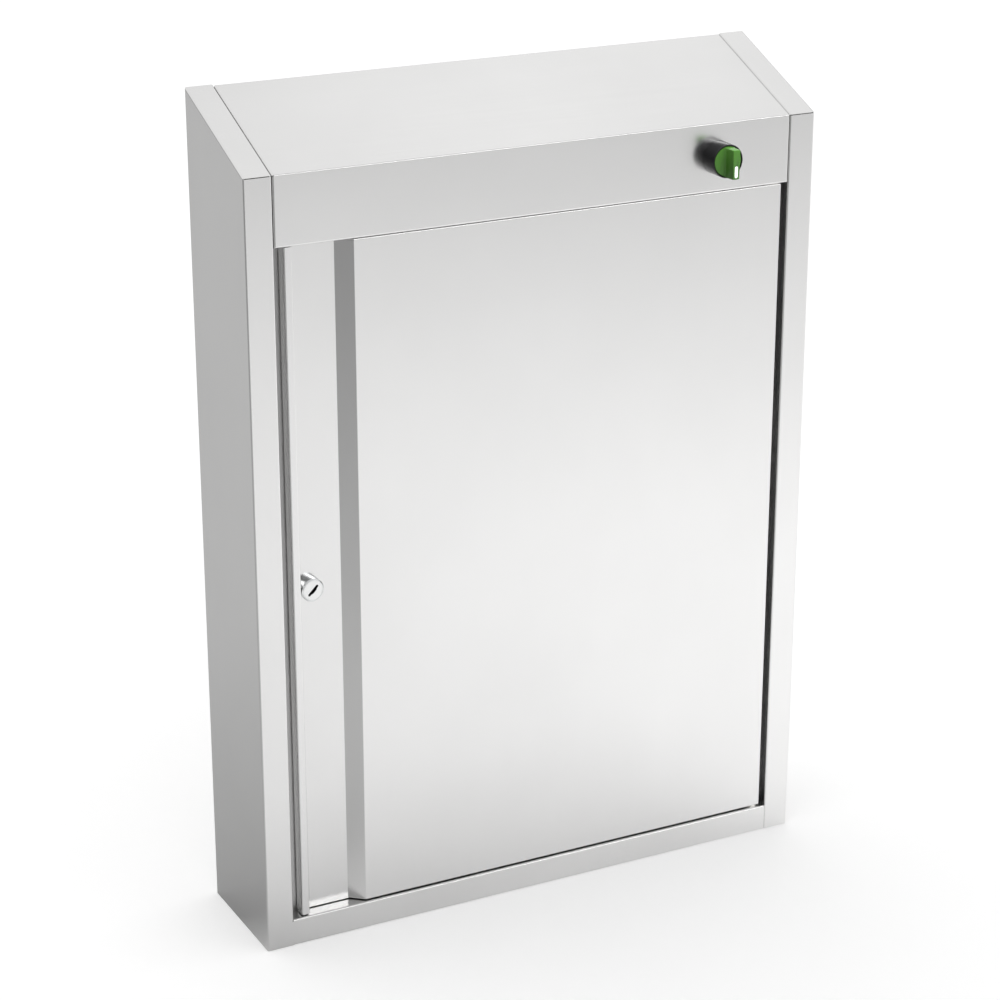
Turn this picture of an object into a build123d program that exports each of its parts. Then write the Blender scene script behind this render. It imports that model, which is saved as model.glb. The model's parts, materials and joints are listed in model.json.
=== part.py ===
from build123d import *
from math import atan, cos, hypot
import os

# Wall cabinet of folded stainless steel that sterilises knives by ultraviolet light.
# A sloping roof runs down into a fascia, a door with a recessed grip channel hangs on
# two hidden pivots at its right edge, and a green selector on the fascia lights the lamp.
#
# Millimetres. The origin is the centre of the underside. +X is to the right as the door
# is faced, +Y goes back to the wall and +Z is up.

# ---- Driving dimensions ----
# Overall
width = 500.0
depth = 113.0
front_height = 645.0
back_height = 692.0

# Sheet metal of the cabinet
body_sheet = 1.2
bend = 1.4
flange_width = 23.2
front_return = 5.0
seam = 0.4
seam_return = 10.0
mitre_gap = 0.6
weld_clear = 0.1

# Roof and fascia
fascia_height = 56.0
fascia_return = 14.0
roof_lip = 20.0

# Base, back and header partition
rail_height = 23.4
rail_return = 14.0
base_upstand = 12.0
partition_upstand = 12.0
back_panel_drop = 4.5
wall_hole_radius = 4.0
wall_hole_spacing_x = 360.0
wall_hole_spacing_z = 400.0
wall_hole_height = 320.0
rivet_shares = (0.2, 0.5, 0.8)
partition_screw_shares = (0.07, 0.45, 0.72)

# Door
door_sheet = 1.0
door_bend = 1.2
door_setback = 2.5
door_depth = 11.1
door_gap_top = 0.9
door_gap_bottom = 0.8
door_gap_hinge = 4.5
door_gap_latch = 8.8
lip_width = 7.0
channel_width = 38.5
channel_slant = 12.0
liner_clear = 2.2

# Door pivots
pivot_inset = 6.3
pivot_pin_radius = 3.0
pivot_pin_reach = 14.0
pivot_pin_chamfer = 0.6
pivot_head_radius = 5.0
pivot_head_height = 2.5
pivot_clear = 0.05
bush_radius = 4.0
bush_length = 16.0
bush_flange_radius = 5.4
bush_flange_clear = 0.1
hinge_block_width = 18.0
hinge_block_height = 24.0

# Door stops
latch_stop_lap = 5.0
latch_stop_gap = 0.9
hinge_stop_lap = 18.8
hinge_stop_gap = 5.7
hinge_seal_thickness = 2.1
hinge_seal_width = 14.0
bumper_radius = 3.0
bumper_gap = 0.2
bumper_inset = 36.0

# Cam lock
lock_inset = 11.0
lock_offset = 1.3
lock_head_radius = 9.6
lock_head_length = 8.0
lock_head_bevel = 0.9
lock_barrel_radius = 8.0
lock_barrel_length = 13.4
lock_cap_radius = 8.2
lock_cap_thickness = 1.4
lock_plug_radius = 6.0
lock_clear = 0.05
lock_tang = 6.0
lock_nut_flats = 20.0
lock_nut_thickness = 3.5
keyway_length = 11.4
keyway_width = 1.5
keyway_bulge = 2.6
keyway_depth = 6.0
keyway_angle = 45.0
cam_gap = 0.4
cam_thickness = 2.0
cam_width = 14.0
cam_reach = 30.0
cam_screw_radius = 2.0
cam_screw_head_radius = 4.0
cam_screw_head = 2.4
cam_screw_reach = 6.0
keeper_width = 12.0
keeper_height = 30.0
keeper_foot = 8.0
keeper_gap = 0.4

# Selector switch
selector_inset = 91.0
selector_radius = 13.7
selector_height = 16.0
selector_ring = 1.1
selector_stem_radius = 11.0
selector_stem_length = 20.0
selector_hole_clear = 0.15
selector_nut_flats = 27.0
selector_nut_thickness = 4.5
knob_clear = 0.3
knob_recess = 4.6
knob_sink = 0.4
knob_shaft_radius = 5.0
knob_shaft_clear = 0.05
knob_grip_height = 12.5
knob_grip_width = 6.3
knob_grip_draft = 2.0
knob_flare = 0.9
pointer_width = 2.6
pointer_length = 9.2
pointer_centre = 5.9
pointer_depth = 0.8
collar_size = 30.0
collar_thickness = 8.0
contact_height = 36.0
contact_depth = 22.0
contact_width = 9.8
contact_pitch = 10.0
led_width = 10.0

# Ultraviolet lamp
lamp_length = 437.0
lamp_radius = 13.0
lamp_wall = 0.8
lamp_drop = 33.0
lamp_behind_middle = 2.75
lamp_cap_length = 14.0
lamp_cap_wall = 0.4
lamp_cap_end = 1.5
lamp_pin_radius = 1.18
lamp_pin_length = 7.1
lamp_pin_spacing = 12.7
holder_thickness = 11.0
holder_width = 26.0
holder_below = 14.0
holder_gap = 0.4
reflector_sheet = 0.8
reflector_width = 44.0
reflector_front_gap = 8.5
reflector_rear_gap = 3.0
reflector_drop = 13.0
reflector_length = 410.0
guard_hoop_radius = 1.5
guard_wire_radius = 1.0
guard_gap = 4.0
guard_hoop_count = 5
guard_length = 392.0
guard_overhang = 4.0
guard_bend = 11.0

# Electrics in the header
ballast_x = -30.0
electrics_y = 22.0
ballast_length = 150.0
ballast_width = 41.0
ballast_height = 28.0
ballast_foot = 13.0
ballast_foot_thickness = 1.5
starter_x = 85.0
starter_radius = 10.75
starter_length = 36.0
starter_seat = 3.0
starter_holder_height = 12.0
starter_holder_size = 28.0
terminal_x = -150.0
terminal_poles = 4
terminal_pitch = 11.0
terminal_width = 18.0
terminal_height = 16.0
terminal_screw_depth = 7.0
earth_x = -200.0
earth_stud_radius = 3.0
earth_stud_length = 16.0
earth_nut_flats = 10.0
earth_nut_thickness = 5.0

# Door switch
door_switch_inset = 110.0
door_switch_gap = 4.0
reed_length = 23.0
reed_width = 14.0
reed_height = 6.0
reed_clear = 0.5
magnet_length = 20.0
magnet_depth = 5.0
magnet_height = 8.0

# Magnetic knife rail
knife_rail_length = 380.0
knife_rail_height = 42.0
knife_rail_depth = 12.0
knife_rail_sheet = 1.0
knife_rail_z = 420.0
knife_rail_bend = 2.5
knife_magnet_depth = 8.0
knife_magnet_inset = 7.0
knife_screw_spacing = 300.0

# Cable entry in the back panel
grommet_hole_radius = 8.0
grommet_bore_radius = 4.0
grommet_flange_radius = 11.0
grommet_flange = 2.5
grommet_lip = 0.9
grommet_inset = 78.0
grommet_rise = 34.0

# Fixings
rivet_radius = 1.6
rivet_head_radius = 3.2
rivet_head = 0.9
screw_radius = 2.0
screw_head_radius = 3.9
screw_head = 2.2
hole_clear = 0.1

# ---- Derived places ----
left = -width / 2
right = width / 2
front = -depth / 2
back = depth / 2
slope = (back_height - front_height) / depth
slope_angle = atan(slope)

opening_left = left + flange_width
opening_right = right - flange_width
fascia_bottom = front_height - fascia_height
fascia_middle = (front_height + fascia_bottom) / 2
partition_z = fascia_bottom + body_sheet
partition_top = partition_z + body_sheet
back_panel_y = back - 2 * body_sheet
roof_left = opening_left + seam
roof_right = opening_right - seam

door_left = opening_left + door_gap_latch
door_right = opening_right - door_gap_hinge
door_bottom = rail_height + door_gap_bottom
door_top = fascia_bottom - door_gap_top
door_height = door_top - door_bottom
door_front = front + door_setback
door_back = door_front + door_depth
channel_front = door_back - door_sheet
channel_left = door_left + lip_width
channel_right = channel_left + channel_width
panel_left = channel_right + channel_slant

pivot_x = door_right - pivot_inset
pivot_y = (door_front + door_back) / 2

reed_front = door_back + magnet_depth + reed_clear
reed_back = reed_front + reed_width

latch_stop_y = door_back + latch_stop_gap
hinge_stop_y = door_back + hinge_stop_gap

lock_x = channel_left + lock_inset
lock_z = (door_top + door_bottom) / 2 + lock_offset
lock_front = channel_front - lock_head_length
barrel_end = channel_front + lock_barrel_length
cam_front = barrel_end + cam_gap

selector_x = right - selector_inset
selector_front = front - selector_height
collar_front = front + selector_stem_length - collar_thickness
contact_front = collar_front + collar_thickness

os.makedirs("parts", exist_ok=True)


def roof_z(y, depth_below=0.0):
    """Height of the sloping roof at y, or of a plane that far below its surface."""
    return front_height + (y - front) * slope - depth_below / cos(slope_angle)


def folded(plane, points, thickness, radii, side=Side.LEFT):
    """Section of a folded sheet: its outer line, with a fold radius for each corner, and the
    side of that line that the sheet's thickness lies on."""
    hand = 1 if side == Side.LEFT else -1
    corners = [Vector(*point) for point in points]
    runs = [(end - start).normalized() for start, end in zip(corners, corners[1:])]
    steps = [Vector(-run.Y, run.X) * hand * thickness for run in runs]
    far_side = [corners[0] + steps[0]]
    far_radii = []
    for number, corner in enumerate(corners[1:-1]):
        step, next_step = steps[number], steps[number + 1]
        mitre = thickness**2 / (thickness**2 + step.dot(next_step))
        far_side.append(corner + (step + next_step) * mitre)
        turns_in = step.dot(runs[number + 1]) > 0
        far_radii.append(radii[number] - thickness if turns_in else radii[number] + thickness)
    far_side.append(corners[-1] + steps[-1])
    with BuildSketch(plane) as section:
        with BuildLine():
            FilletPolyline(*corners, radius=radii)
            FilletPolyline(*far_side, radius=far_radii)
            Line(corners[0], far_side[0])
            Line(corners[-1], far_side[-1])
        make_face()
    return section.sketch


def outline(plane, points):
    """Flat face with straight sides."""
    with BuildSketch(plane) as section:
        with BuildLine():
            Polyline(*points, close=True)
        make_face()
    return section.sketch


def disc(plane, radius):
    """Flat round face."""
    with BuildSketch(plane) as section:
        Circle(radius)
    return section.sketch


def rectangle(plane, size_x, size_y):
    """Flat face with four square corners, centred on its plane."""
    with BuildSketch(plane) as section:
        Rectangle(size_x, size_y)
    return section.sketch


def hexagon(plane, across_flats, rotation=0.0):
    """Flat six-sided face, measured across its flats."""
    with BuildSketch(plane) as section:
        RegularPolygon(across_flats / 2, side_count=6, major_radius=False, rotation=rotation)
    return section.sketch


def facing_front(x, y, z):
    """Plane that faces the user: its own X is +X, its own Y is +Z and it looks along -Y."""
    return Plane(origin=(x, y, z), x_dir=(1, 0, 0), z_dir=(0, -1, 0))


def facing_back(x, y, z):
    """Plane that faces the wall, so that an extrusion from it runs along +Y."""
    return Plane(origin=(x, y, z), x_dir=(1, 0, 0), z_dir=(0, 1, 0))


def facing_right(x, y=0.0, z=0.0):
    """Plane whose own X is +Y and own Y is +Z, so that an extrusion runs along +X."""
    return Plane(origin=(x, y, z), x_dir=(0, 1, 0), z_dir=(1, 0, 0))


def level(x, y, z):
    """Plane that faces up."""
    return Plane(origin=(x, y, z))


def save(piece, name):
    """Names a finished piece and writes its file."""
    piece.part.label = name
    export_step(piece.part, f"parts/{name}.step")


# ---- Side panels ----
partition_screw_y = front + (fascia_return + front_return) / 2
partition_screw_xs = [opening_left + width * share for share in partition_screw_shares]
rivet_ys = [front + depth * share for share in rivet_shares]
rivet_depth = seam_return / 2 + body_sheet
inner_back = back - body_sheet
return_end = back_panel_y - weld_clear
side_outline = [(front, 0), (back, 0), (back, back_height), (front, front_height)]
side_cavity = [
    (front + body_sheet, -body_sheet),
    (inner_back, -body_sheet),
    (inner_back, roof_z(inner_back, body_sheet)),
    (front + body_sheet, roof_z(front + body_sheet, body_sheet)),
]
side_opening = [
    (front + front_return, -body_sheet),
    (inner_back, -body_sheet),
    (inner_back, roof_z(inner_back, body_sheet)),
    (return_end, roof_z(return_end, body_sheet)),
    (return_end, roof_z(return_end, seam_return)),
    (front + front_return, roof_z(front + front_return, seam_return)),
]


def is_sloping(edge):
    """Whether an edge runs along the slope of the roof."""
    along = edge.tangent_at(0.5)
    return abs(along.Y) > 0.5 and abs(along.Z) > abs(along.Y) * slope / 2


with BuildPart() as side_panel:
    extrude(outline(facing_right(left), side_outline), amount=flange_width)
    uprights = side_panel.edges().filter_by(Axis.Z)
    front_corners = uprights.group_by(Axis.Y)[0]
    rear_corner = uprights.group_by(Axis.Y)[-1].sort_by(Axis.X)[0]
    fillet(front_corners + [rear_corner] + side_panel.edges().filter_by(is_sloping), radius=bend)
    extrude(
        outline(facing_right(left + body_sheet), side_cavity),
        amount=flange_width - 2 * body_sheet,
        mode=Mode.SUBTRACT,
    )
    extrude(
        outline(facing_right(opening_left - body_sheet), side_opening),
        amount=body_sheet,
        mode=Mode.SUBTRACT,
    )
    # Open mitre where the front flange meets the roof flange
    with BuildSketch(facing_right(left + bend)) as mitre:
        with Locations((front, front_height - mitre_gap)):
            Rectangle(4 * body_sheet, mitre_gap)
    extrude(amount=flange_width, mode=Mode.SUBTRACT)
    for y in rivet_ys:
        hole = disc(facing_right(opening_left - 2 * body_sheet, y, roof_z(y, rivet_depth)), rivet_radius)
        extrude(hole, amount=3 * body_sheet, mode=Mode.SUBTRACT)

with BuildPart() as left_side_panel:
    add(side_panel.part)
    # Weld that makes the left upright and the bottom rail one flush face
    weld = outline(
        level(0, 0, 0),
        [
            (opening_left - bend, front),
            (opening_left, front),
            (opening_left, front + bend),
            (opening_left - body_sheet, front + bend),
            (opening_left - body_sheet, front + body_sheet),
            (opening_left - bend, front + body_sheet),
        ],
    )
    extrude(weld, amount=rail_height - bend)
save(left_side_panel, "left_side_panel")

with BuildPart() as right_side_panel:
    mirror(side_panel.part, about=Plane.YZ)
save(right_side_panel, "right_side_panel")

# ---- Roof and fascia ----
roof_block = [
    (back, back_height - roof_lip),
    (back, back_height),
    (front, front_height),
    (front, fascia_bottom),
    (front + fascia_return, fascia_bottom),
]
below_fascia = fascia_bottom - body_sheet
roof_cavity = [
    (front + body_sheet, fascia_bottom + body_sheet),
    (front + body_sheet, roof_z(front + body_sheet, body_sheet)),
    (inner_back, roof_z(inner_back, body_sheet)),
    (inner_back, below_fascia),
    (front + fascia_return, below_fascia),
    (front + fascia_return, fascia_bottom + body_sheet),
]
roof_end_opening = [
    (front + front_return, fascia_bottom + body_sheet),
    (front + front_return, roof_z(front + front_return, seam_return)),
    (return_end, roof_z(return_end, seam_return)),
    (return_end, roof_z(return_end, body_sheet)),
    (inner_back, roof_z(inner_back, body_sheet)),
    (inner_back, below_fascia),
    (front + fascia_return, below_fascia),
    (front + fascia_return, fascia_bottom + body_sheet),
]


def is_roof_fold(edge):
    """Whether an edge of the roof block is one of its folds or its two outer ends."""
    middle = edge.center()
    if is_sloping(edge):
        return abs(middle.Z - roof_z(middle.Y)) < bend
    if abs(edge.tangent_at(0.5).Z) > 0.5:
        return True
    return min(abs(middle.Z - z) for z in (back_height, front_height, fascia_bottom)) < bend and (
        middle.Y < front + bend or middle.Z > front_height + bend
    )


with BuildPart() as roof_and_fascia:
    extrude(outline(facing_right(roof_left), roof_block), amount=roof_right - roof_left)
    fillet(roof_and_fascia.edges().filter_by(is_roof_fold), radius=bend)
    extrude(
        outline(facing_right(roof_left + body_sheet), roof_cavity),
        amount=roof_right - roof_left - 2 * body_sheet,
        mode=Mode.SUBTRACT,
    )
    for x in (roof_left, roof_right - body_sheet):
        extrude(outline(facing_right(x), roof_end_opening), amount=body_sheet, mode=Mode.SUBTRACT)
    for x in (roof_left - body_sheet, roof_right - 2 * body_sheet):
        for y in rivet_ys:
            hole = disc(facing_right(x, y, roof_z(y, rivet_depth)), rivet_radius)
            extrude(hole, amount=3 * body_sheet, mode=Mode.SUBTRACT)
    selector_hole = disc(
        facing_back(selector_x, front - body_sheet, fascia_middle),
        selector_stem_radius + selector_hole_clear,
    )
    extrude(selector_hole, amount=3 * body_sheet, mode=Mode.SUBTRACT)
    # Holes in the lower return for the top pivot and the partition's screws
    pivot_hole = disc(level(pivot_x, pivot_y, below_fascia), pivot_pin_radius + pivot_clear)
    extrude(pivot_hole, amount=3 * body_sheet, mode=Mode.SUBTRACT)
    for x in partition_screw_xs:
        screw_hole = disc(level(x, partition_screw_y, below_fascia), screw_radius + hole_clear)
        extrude(screw_hole, amount=3 * body_sheet, mode=Mode.SUBTRACT)
save(roof_and_fascia, "roof_and_fascia")

# ---- Base with its front rail ----
base_right = opening_right - seam
rail_line = [
    (back_panel_y - body_sheet, 0),
    (front, 0),
    (front, rail_height),
    (front + rail_return, rail_height),
]
floor_left = left + body_sheet
floor_right = right - body_sheet
with BuildPart() as base_panel:
    rail_section = folded(facing_right(opening_left), rail_line, body_sheet, [bend, bend], Side.RIGHT)
    extrude(rail_section, amount=base_right - opening_left)
    # Floor between the side plates, behind the two uprights
    with BuildSketch(level(floor_left, front + front_return, 0)) as floor:
        Rectangle(
            floor_right - floor_left,
            back_panel_y - front - front_return,
            align=(Align.MIN, Align.MIN),
        )
    extrude(amount=body_sheet)
    # Upstands welded to the side plates and the back panel
    upstand_front = latch_stop_y + 2 * body_sheet
    for x in (floor_left, floor_right - body_sheet):
        with BuildSketch(level(x, upstand_front, 0)) as side_upstand:
            Rectangle(body_sheet, back_panel_y - upstand_front, align=(Align.MIN, Align.MIN))
        extrude(amount=base_upstand)
    with BuildSketch(level(floor_left, back_panel_y - body_sheet, 0)) as rear_upstand:
        Rectangle(floor_right - floor_left, body_sheet, align=(Align.MIN, Align.MIN))
    extrude(amount=base_upstand)
    pivot_hole = disc(level(pivot_x, pivot_y, rail_height - 2 * body_sheet), pivot_pin_radius + pivot_clear)
    extrude(pivot_hole, amount=3 * body_sheet, mode=Mode.SUBTRACT)
save(base_panel, "base_panel")

# ---- Back panel ----
back_panel_top = back_height - back_panel_drop
grommet_x = left + grommet_inset
grommet_z = partition_top + grommet_rise
with BuildPart() as back_panel:
    with BuildSketch(facing_back(0, back_panel_y, 0)) as back_sheet:
        with Locations((0, -(back_panel_top + body_sheet) / 2)):
            Rectangle(floor_right - floor_left, back_panel_top - body_sheet)
    extrude(amount=body_sheet)
    for x in (-wall_hole_spacing_x / 2, wall_hole_spacing_x / 2):
        for z in (-wall_hole_spacing_z / 2, wall_hole_spacing_z / 2):
            wall_hole = disc(facing_back(x, back_panel_y, wall_hole_height + z), wall_hole_radius)
            extrude(wall_hole, amount=body_sheet, mode=Mode.SUBTRACT)
    grommet_hole = disc(facing_back(grommet_x, back_panel_y, grommet_z), grommet_hole_radius)
    extrude(grommet_hole, amount=body_sheet, mode=Mode.SUBTRACT)
save(back_panel, "back_panel")

# ---- Header partition, between the lamp chamber and the electrics ----
partition_front = front + front_return + weld_clear
with BuildPart() as header_partition:
    partition_line = [
        (back_panel_y, partition_z + partition_upstand),
        (back_panel_y, partition_z),
        (partition_front, partition_z),
    ]
    section = folded(facing_right(floor_left), partition_line, body_sheet, [bend], Side.RIGHT)
    extrude(section, amount=floor_right - floor_left)
    extrude(
        disc(level(pivot_x, pivot_y, partition_z), pivot_pin_radius + pivot_clear),
        amount=body_sheet,
        mode=Mode.SUBTRACT,
    )
    for x in partition_screw_xs:
        screw_hole = disc(level(x, partition_screw_y, partition_z), screw_radius + hole_clear)
        extrude(screw_hole, amount=body_sheet, mode=Mode.SUBTRACT)
save(header_partition, "header_partition")

# ---- Fixings of the cabinet ----
with BuildPart() as roof_rivets:
    for hand in (-1, 1):
        inner_x = hand * (width / 2 - flange_width + body_sheet)
        outer_x = hand * (width / 2 - flange_width - seam - body_sheet)
        for y in rivet_ys:
            z = roof_z(y, rivet_depth)
            start = min(inner_x, outer_x)
            end = max(inner_x, outer_x)
            extrude(disc(facing_right(start, y, z), rivet_radius), amount=end - start)
            extrude(disc(facing_right(start, y, z), rivet_head_radius), amount=-rivet_head)
            extrude(disc(facing_right(end, y, z), rivet_head_radius), amount=rivet_head)
save(roof_rivets, "roof_rivets")

with BuildPart() as partition_screws:
    for x in partition_screw_xs:
        shank = disc(level(x, partition_screw_y, partition_top), screw_radius)
        extrude(shank, amount=-2 * body_sheet)
        head = disc(level(x, partition_screw_y, partition_top), screw_head_radius)
        extrude(head, amount=screw_head)
save(partition_screws, "partition_screws")

# ---- Stops that the door closes against ----
stop_height = partition_z - body_sheet
latch_stop_right = door_left + latch_stop_lap
with BuildPart() as latch_stop:
    stop_line = [
        (opening_left - body_sheet, front + body_sheet),
        (opening_left - body_sheet, latch_stop_y),
        (latch_stop_right, latch_stop_y),
    ]
    section = folded(level(0, 0, body_sheet), stop_line, body_sheet, [bend - body_sheet])
    extrude(section, amount=stop_height)
save(latch_stop, "latch_stop")

hinge_stop_left = opening_right - hinge_stop_lap
with BuildPart() as hinge_stop:
    stop_line = [
        (opening_right + body_sheet, front + body_sheet),
        (opening_right + body_sheet, hinge_stop_y),
        (hinge_stop_left, hinge_stop_y),
    ]
    section = folded(level(0, 0, body_sheet), stop_line, body_sheet, [bend - body_sheet], Side.RIGHT)
    extrude(section, amount=stop_height)
save(hinge_stop, "hinge_stop")

with BuildPart() as hinge_seal:
    with BuildSketch(level(hinge_stop_left, hinge_stop_y, body_sheet)) as strip:
        Rectangle(hinge_seal_width, hinge_seal_thickness, align=(Align.MIN, Align.MAX))
    extrude(amount=stop_height)
    fillet(hinge_seal.edges().filter_by(Axis.Z).group_by(Axis.Y)[0], radius=hinge_seal_thickness / 3)
save(hinge_seal, "hinge_seal")

bumper_x = door_left + lip_width / 2 - bumper_radius / 6
with BuildPart() as door_bumpers:
    for z in (door_bottom + bumper_inset, door_top - bumper_inset):
        face = disc(facing_front(bumper_x, latch_stop_y, z), min(bumper_radius, lip_width / 2 - 1))
        extrude(face, amount=latch_stop_gap - bumper_gap)
save(door_bumpers, "door_bumpers")

# ---- Door skin: front sheet, slanted flank, grip channel and lip, folded from one sheet ----
liner_front = door_back - door_sheet
liner_left = channel_right + liner_clear
channel_depth = channel_front - door_front
flank_offset = door_sheet * hypot(channel_slant, channel_depth) / channel_depth


def flank_x(y, offset=0.0):
    """Where the slanted flank stands at y, or its inner face when offset."""
    return panel_left - channel_slant * (y - door_front) / channel_depth + offset


door_block = [
    (door_right, door_back),
    (door_right, door_front),
    (panel_left, door_front),
    (flank_x(door_back), door_back),
]
door_cavity = [
    (door_right - door_sheet, door_back),
    (door_right - door_sheet, door_front + door_sheet),
    (flank_x(door_front + door_sheet, flank_offset), door_front + door_sheet),
    (flank_x(door_back, flank_offset), door_back),
]
lip_line = [
    (channel_right + door_sheet / 4, channel_front),
    (channel_left, channel_front),
    (channel_left, door_front),
    (door_left, door_front),
    (door_left, door_back),
    (channel_left - door_sheet - weld_clear, door_back),
]
lip_bends = [door_bend - door_sheet, door_bend, door_bend, door_bend]

with BuildPart() as door_skin:
    extrude(outline(level(0, 0, door_bottom), door_block), amount=door_height)
    at_back = door_skin.edges().group_by(Axis.Y)[-1]
    fillet([edge for edge in door_skin.edges() if edge not in at_back], radius=door_bend)
    # Hollow with a flange at each end, open at the back for the liner
    extrude(
        outline(level(0, 0, door_bottom + door_sheet), door_cavity),
        amount=door_height - 2 * door_sheet,
        mode=Mode.SUBTRACT,
    )
    with BuildSketch(level(liner_left, liner_front, door_bottom)) as liner_seat:
        Rectangle(door_right - door_sheet - liner_left, door_sheet, align=(Align.MIN, Align.MIN))
    extrude(amount=door_height, mode=Mode.SUBTRACT)
    section = folded(level(0, 0, door_bottom), lip_line, door_sheet, lip_bends, Side.RIGHT)
    extrude(section, amount=door_height)
    bush_hole = disc(level(pivot_x, pivot_y, door_bottom - door_sheet), bush_radius)
    extrude(bush_hole, amount=door_height + 2 * door_sheet, mode=Mode.SUBTRACT)
    lock_hole = disc(facing_back(lock_x, channel_front - door_sheet, lock_z), lock_barrel_radius + hole_clear)
    extrude(lock_hole, amount=3 * door_sheet, mode=Mode.SUBTRACT)
save(door_skin, "door_skin")

with BuildPart() as door_liner:
    with BuildSketch(level(liner_left, liner_front, door_bottom)) as liner_section:
        Rectangle(door_right - door_sheet - liner_left, door_sheet, align=(Align.MIN, Align.MIN))
    extrude(amount=door_height)
save(door_liner, "door_liner")

# ---- Door pivots ----
hinge_block_left = pivot_x - hinge_block_width + (door_right - door_sheet - pivot_x)
with BuildPart() as hinge_blocks:
    for z in (door_bottom + door_sheet, door_top - door_sheet - hinge_block_height):
        with BuildSketch(level(hinge_block_left, door_front + door_sheet, z)) as block:
            Rectangle(
                hinge_block_width,
                door_depth - 2 * door_sheet,
                align=(Align.MIN, Align.MIN),
            )
        extrude(amount=hinge_block_height)
    bush_hole = disc(level(pivot_x, pivot_y, door_bottom), bush_radius)
    extrude(bush_hole, amount=door_height, mode=Mode.SUBTRACT)
save(hinge_blocks, "hinge_blocks")


def pivot_bush(face_z, gap, turn):
    """Flanged bush pressed into one end of the door; turn is +1 when it points up."""
    with BuildPart() as bush:
        extrude(disc(level(pivot_x, pivot_y, face_z), bush_radius), amount=turn * bush_length)
        flange = disc(level(pivot_x, pivot_y, face_z), bush_flange_radius)
        extrude(flange, amount=-turn * (gap - bush_flange_clear))
        bore = disc(level(pivot_x, pivot_y, face_z - turn * gap), pivot_pin_radius + pivot_clear)
        extrude(bore, amount=turn * (gap + bush_length), mode=Mode.SUBTRACT)
    return bush


def pivot_pin(seat_z, reach, turn):
    """Headed pin seated in the cabinet; turn is +1 when it points up."""
    with BuildPart() as pin:
        extrude(disc(level(pivot_x, pivot_y, seat_z), pivot_head_radius), amount=-turn * pivot_head_height)
        extrude(disc(level(pivot_x, pivot_y, seat_z), pivot_pin_radius), amount=turn * reach)
        tip = pin.edges().filter_by(GeomType.CIRCLE).sort_by(Axis.Z)[-1 if turn > 0 else 0]
        chamfer(tip, length=pivot_pin_chamfer)
    return pin


bottom_bush = pivot_bush(door_bottom, door_gap_bottom, 1)
save(bottom_bush, "bottom_bush")
top_bush = pivot_bush(door_top, door_gap_top, -1)
save(top_bush, "top_bush")
bottom_pin = pivot_pin(
    rail_height - body_sheet, body_sheet + door_gap_bottom + pivot_pin_reach, 1
)
save(bottom_pin, "bottom_pivot_pin")
top_pin = pivot_pin(partition_top, 2 * body_sheet + door_gap_top + pivot_pin_reach, -1)
save(top_pin, "top_pivot_pin")

# ---- Cam lock ----
with BuildPart() as lock_body:
    extrude(disc(facing_back(lock_x, lock_front, lock_z), lock_head_radius), amount=lock_head_length)
    chamfer(
        lock_body.edges().filter_by(GeomType.CIRCLE).group_by(Axis.Y)[0], length=lock_head_bevel
    )
    extrude(disc(facing_back(lock_x, channel_front, lock_z), lock_barrel_radius), amount=lock_barrel_length)
    recess = disc(facing_back(lock_x, lock_front, lock_z), lock_cap_radius + lock_clear)
    extrude(recess, amount=lock_cap_thickness + lock_clear, mode=Mode.SUBTRACT)
    bore = disc(facing_back(lock_x, lock_front, lock_z), lock_plug_radius + lock_clear)
    extrude(bore, amount=lock_head_length + lock_barrel_length, mode=Mode.SUBTRACT)
save(lock_body, "lock_body")

tang_end = cam_front + cam_thickness
with BuildPart() as lock_plug:
    extrude(disc(facing_back(lock_x, lock_front, lock_z), lock_cap_radius), amount=lock_cap_thickness)
    extrude(
        disc(facing_back(lock_x, lock_front, lock_z), lock_plug_radius),
        amount=lock_head_length + lock_barrel_length + cam_gap,
    )
    extrude(rectangle(facing_back(lock_x, cam_front, lock_z), lock_tang, lock_tang), amount=cam_thickness)
    with BuildSketch(facing_front(lock_x, lock_front, lock_z)) as keyway:
        SlotOverall(keyway_length, keyway_width, rotation=keyway_angle)
        Ellipse(keyway_length / 4, keyway_bulge / 2, rotation=keyway_angle)
    extrude(amount=-keyway_depth, mode=Mode.SUBTRACT)
    screw_hole = disc(facing_back(lock_x, tang_end - cam_screw_reach, lock_z), cam_screw_radius)
    extrude(screw_hole, amount=cam_screw_reach, mode=Mode.SUBTRACT)
save(lock_plug, "lock_plug")

with BuildPart() as lock_nut:
    nut_face = hexagon(facing_back(lock_x, door_back, lock_z), lock_nut_flats)
    extrude(nut_face, amount=lock_nut_thickness)
    bore = disc(facing_back(lock_x, door_back, lock_z), lock_barrel_radius)
    extrude(bore, amount=lock_nut_thickness, mode=Mode.SUBTRACT)
save(lock_nut, "lock_nut")

with BuildPart() as lock_cam:
    with BuildSketch(facing_back(lock_x, cam_front, lock_z)) as cam_shape:
        with Locations((0, (cam_reach - cam_width / 2) / 2)):
            SlotOverall(cam_reach + cam_width / 2, cam_width, rotation=90)
        Rectangle(lock_tang, lock_tang, mode=Mode.SUBTRACT)
    extrude(amount=cam_thickness)
save(lock_cam, "lock_cam")

with BuildPart() as cam_screw:
    extrude(disc(facing_back(lock_x, tang_end, lock_z), cam_screw_radius), amount=-cam_screw_reach)
    extrude(disc(facing_back(lock_x, tang_end, lock_z), cam_screw_head_radius), amount=cam_screw_head)
save(cam_screw, "cam_screw")

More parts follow.
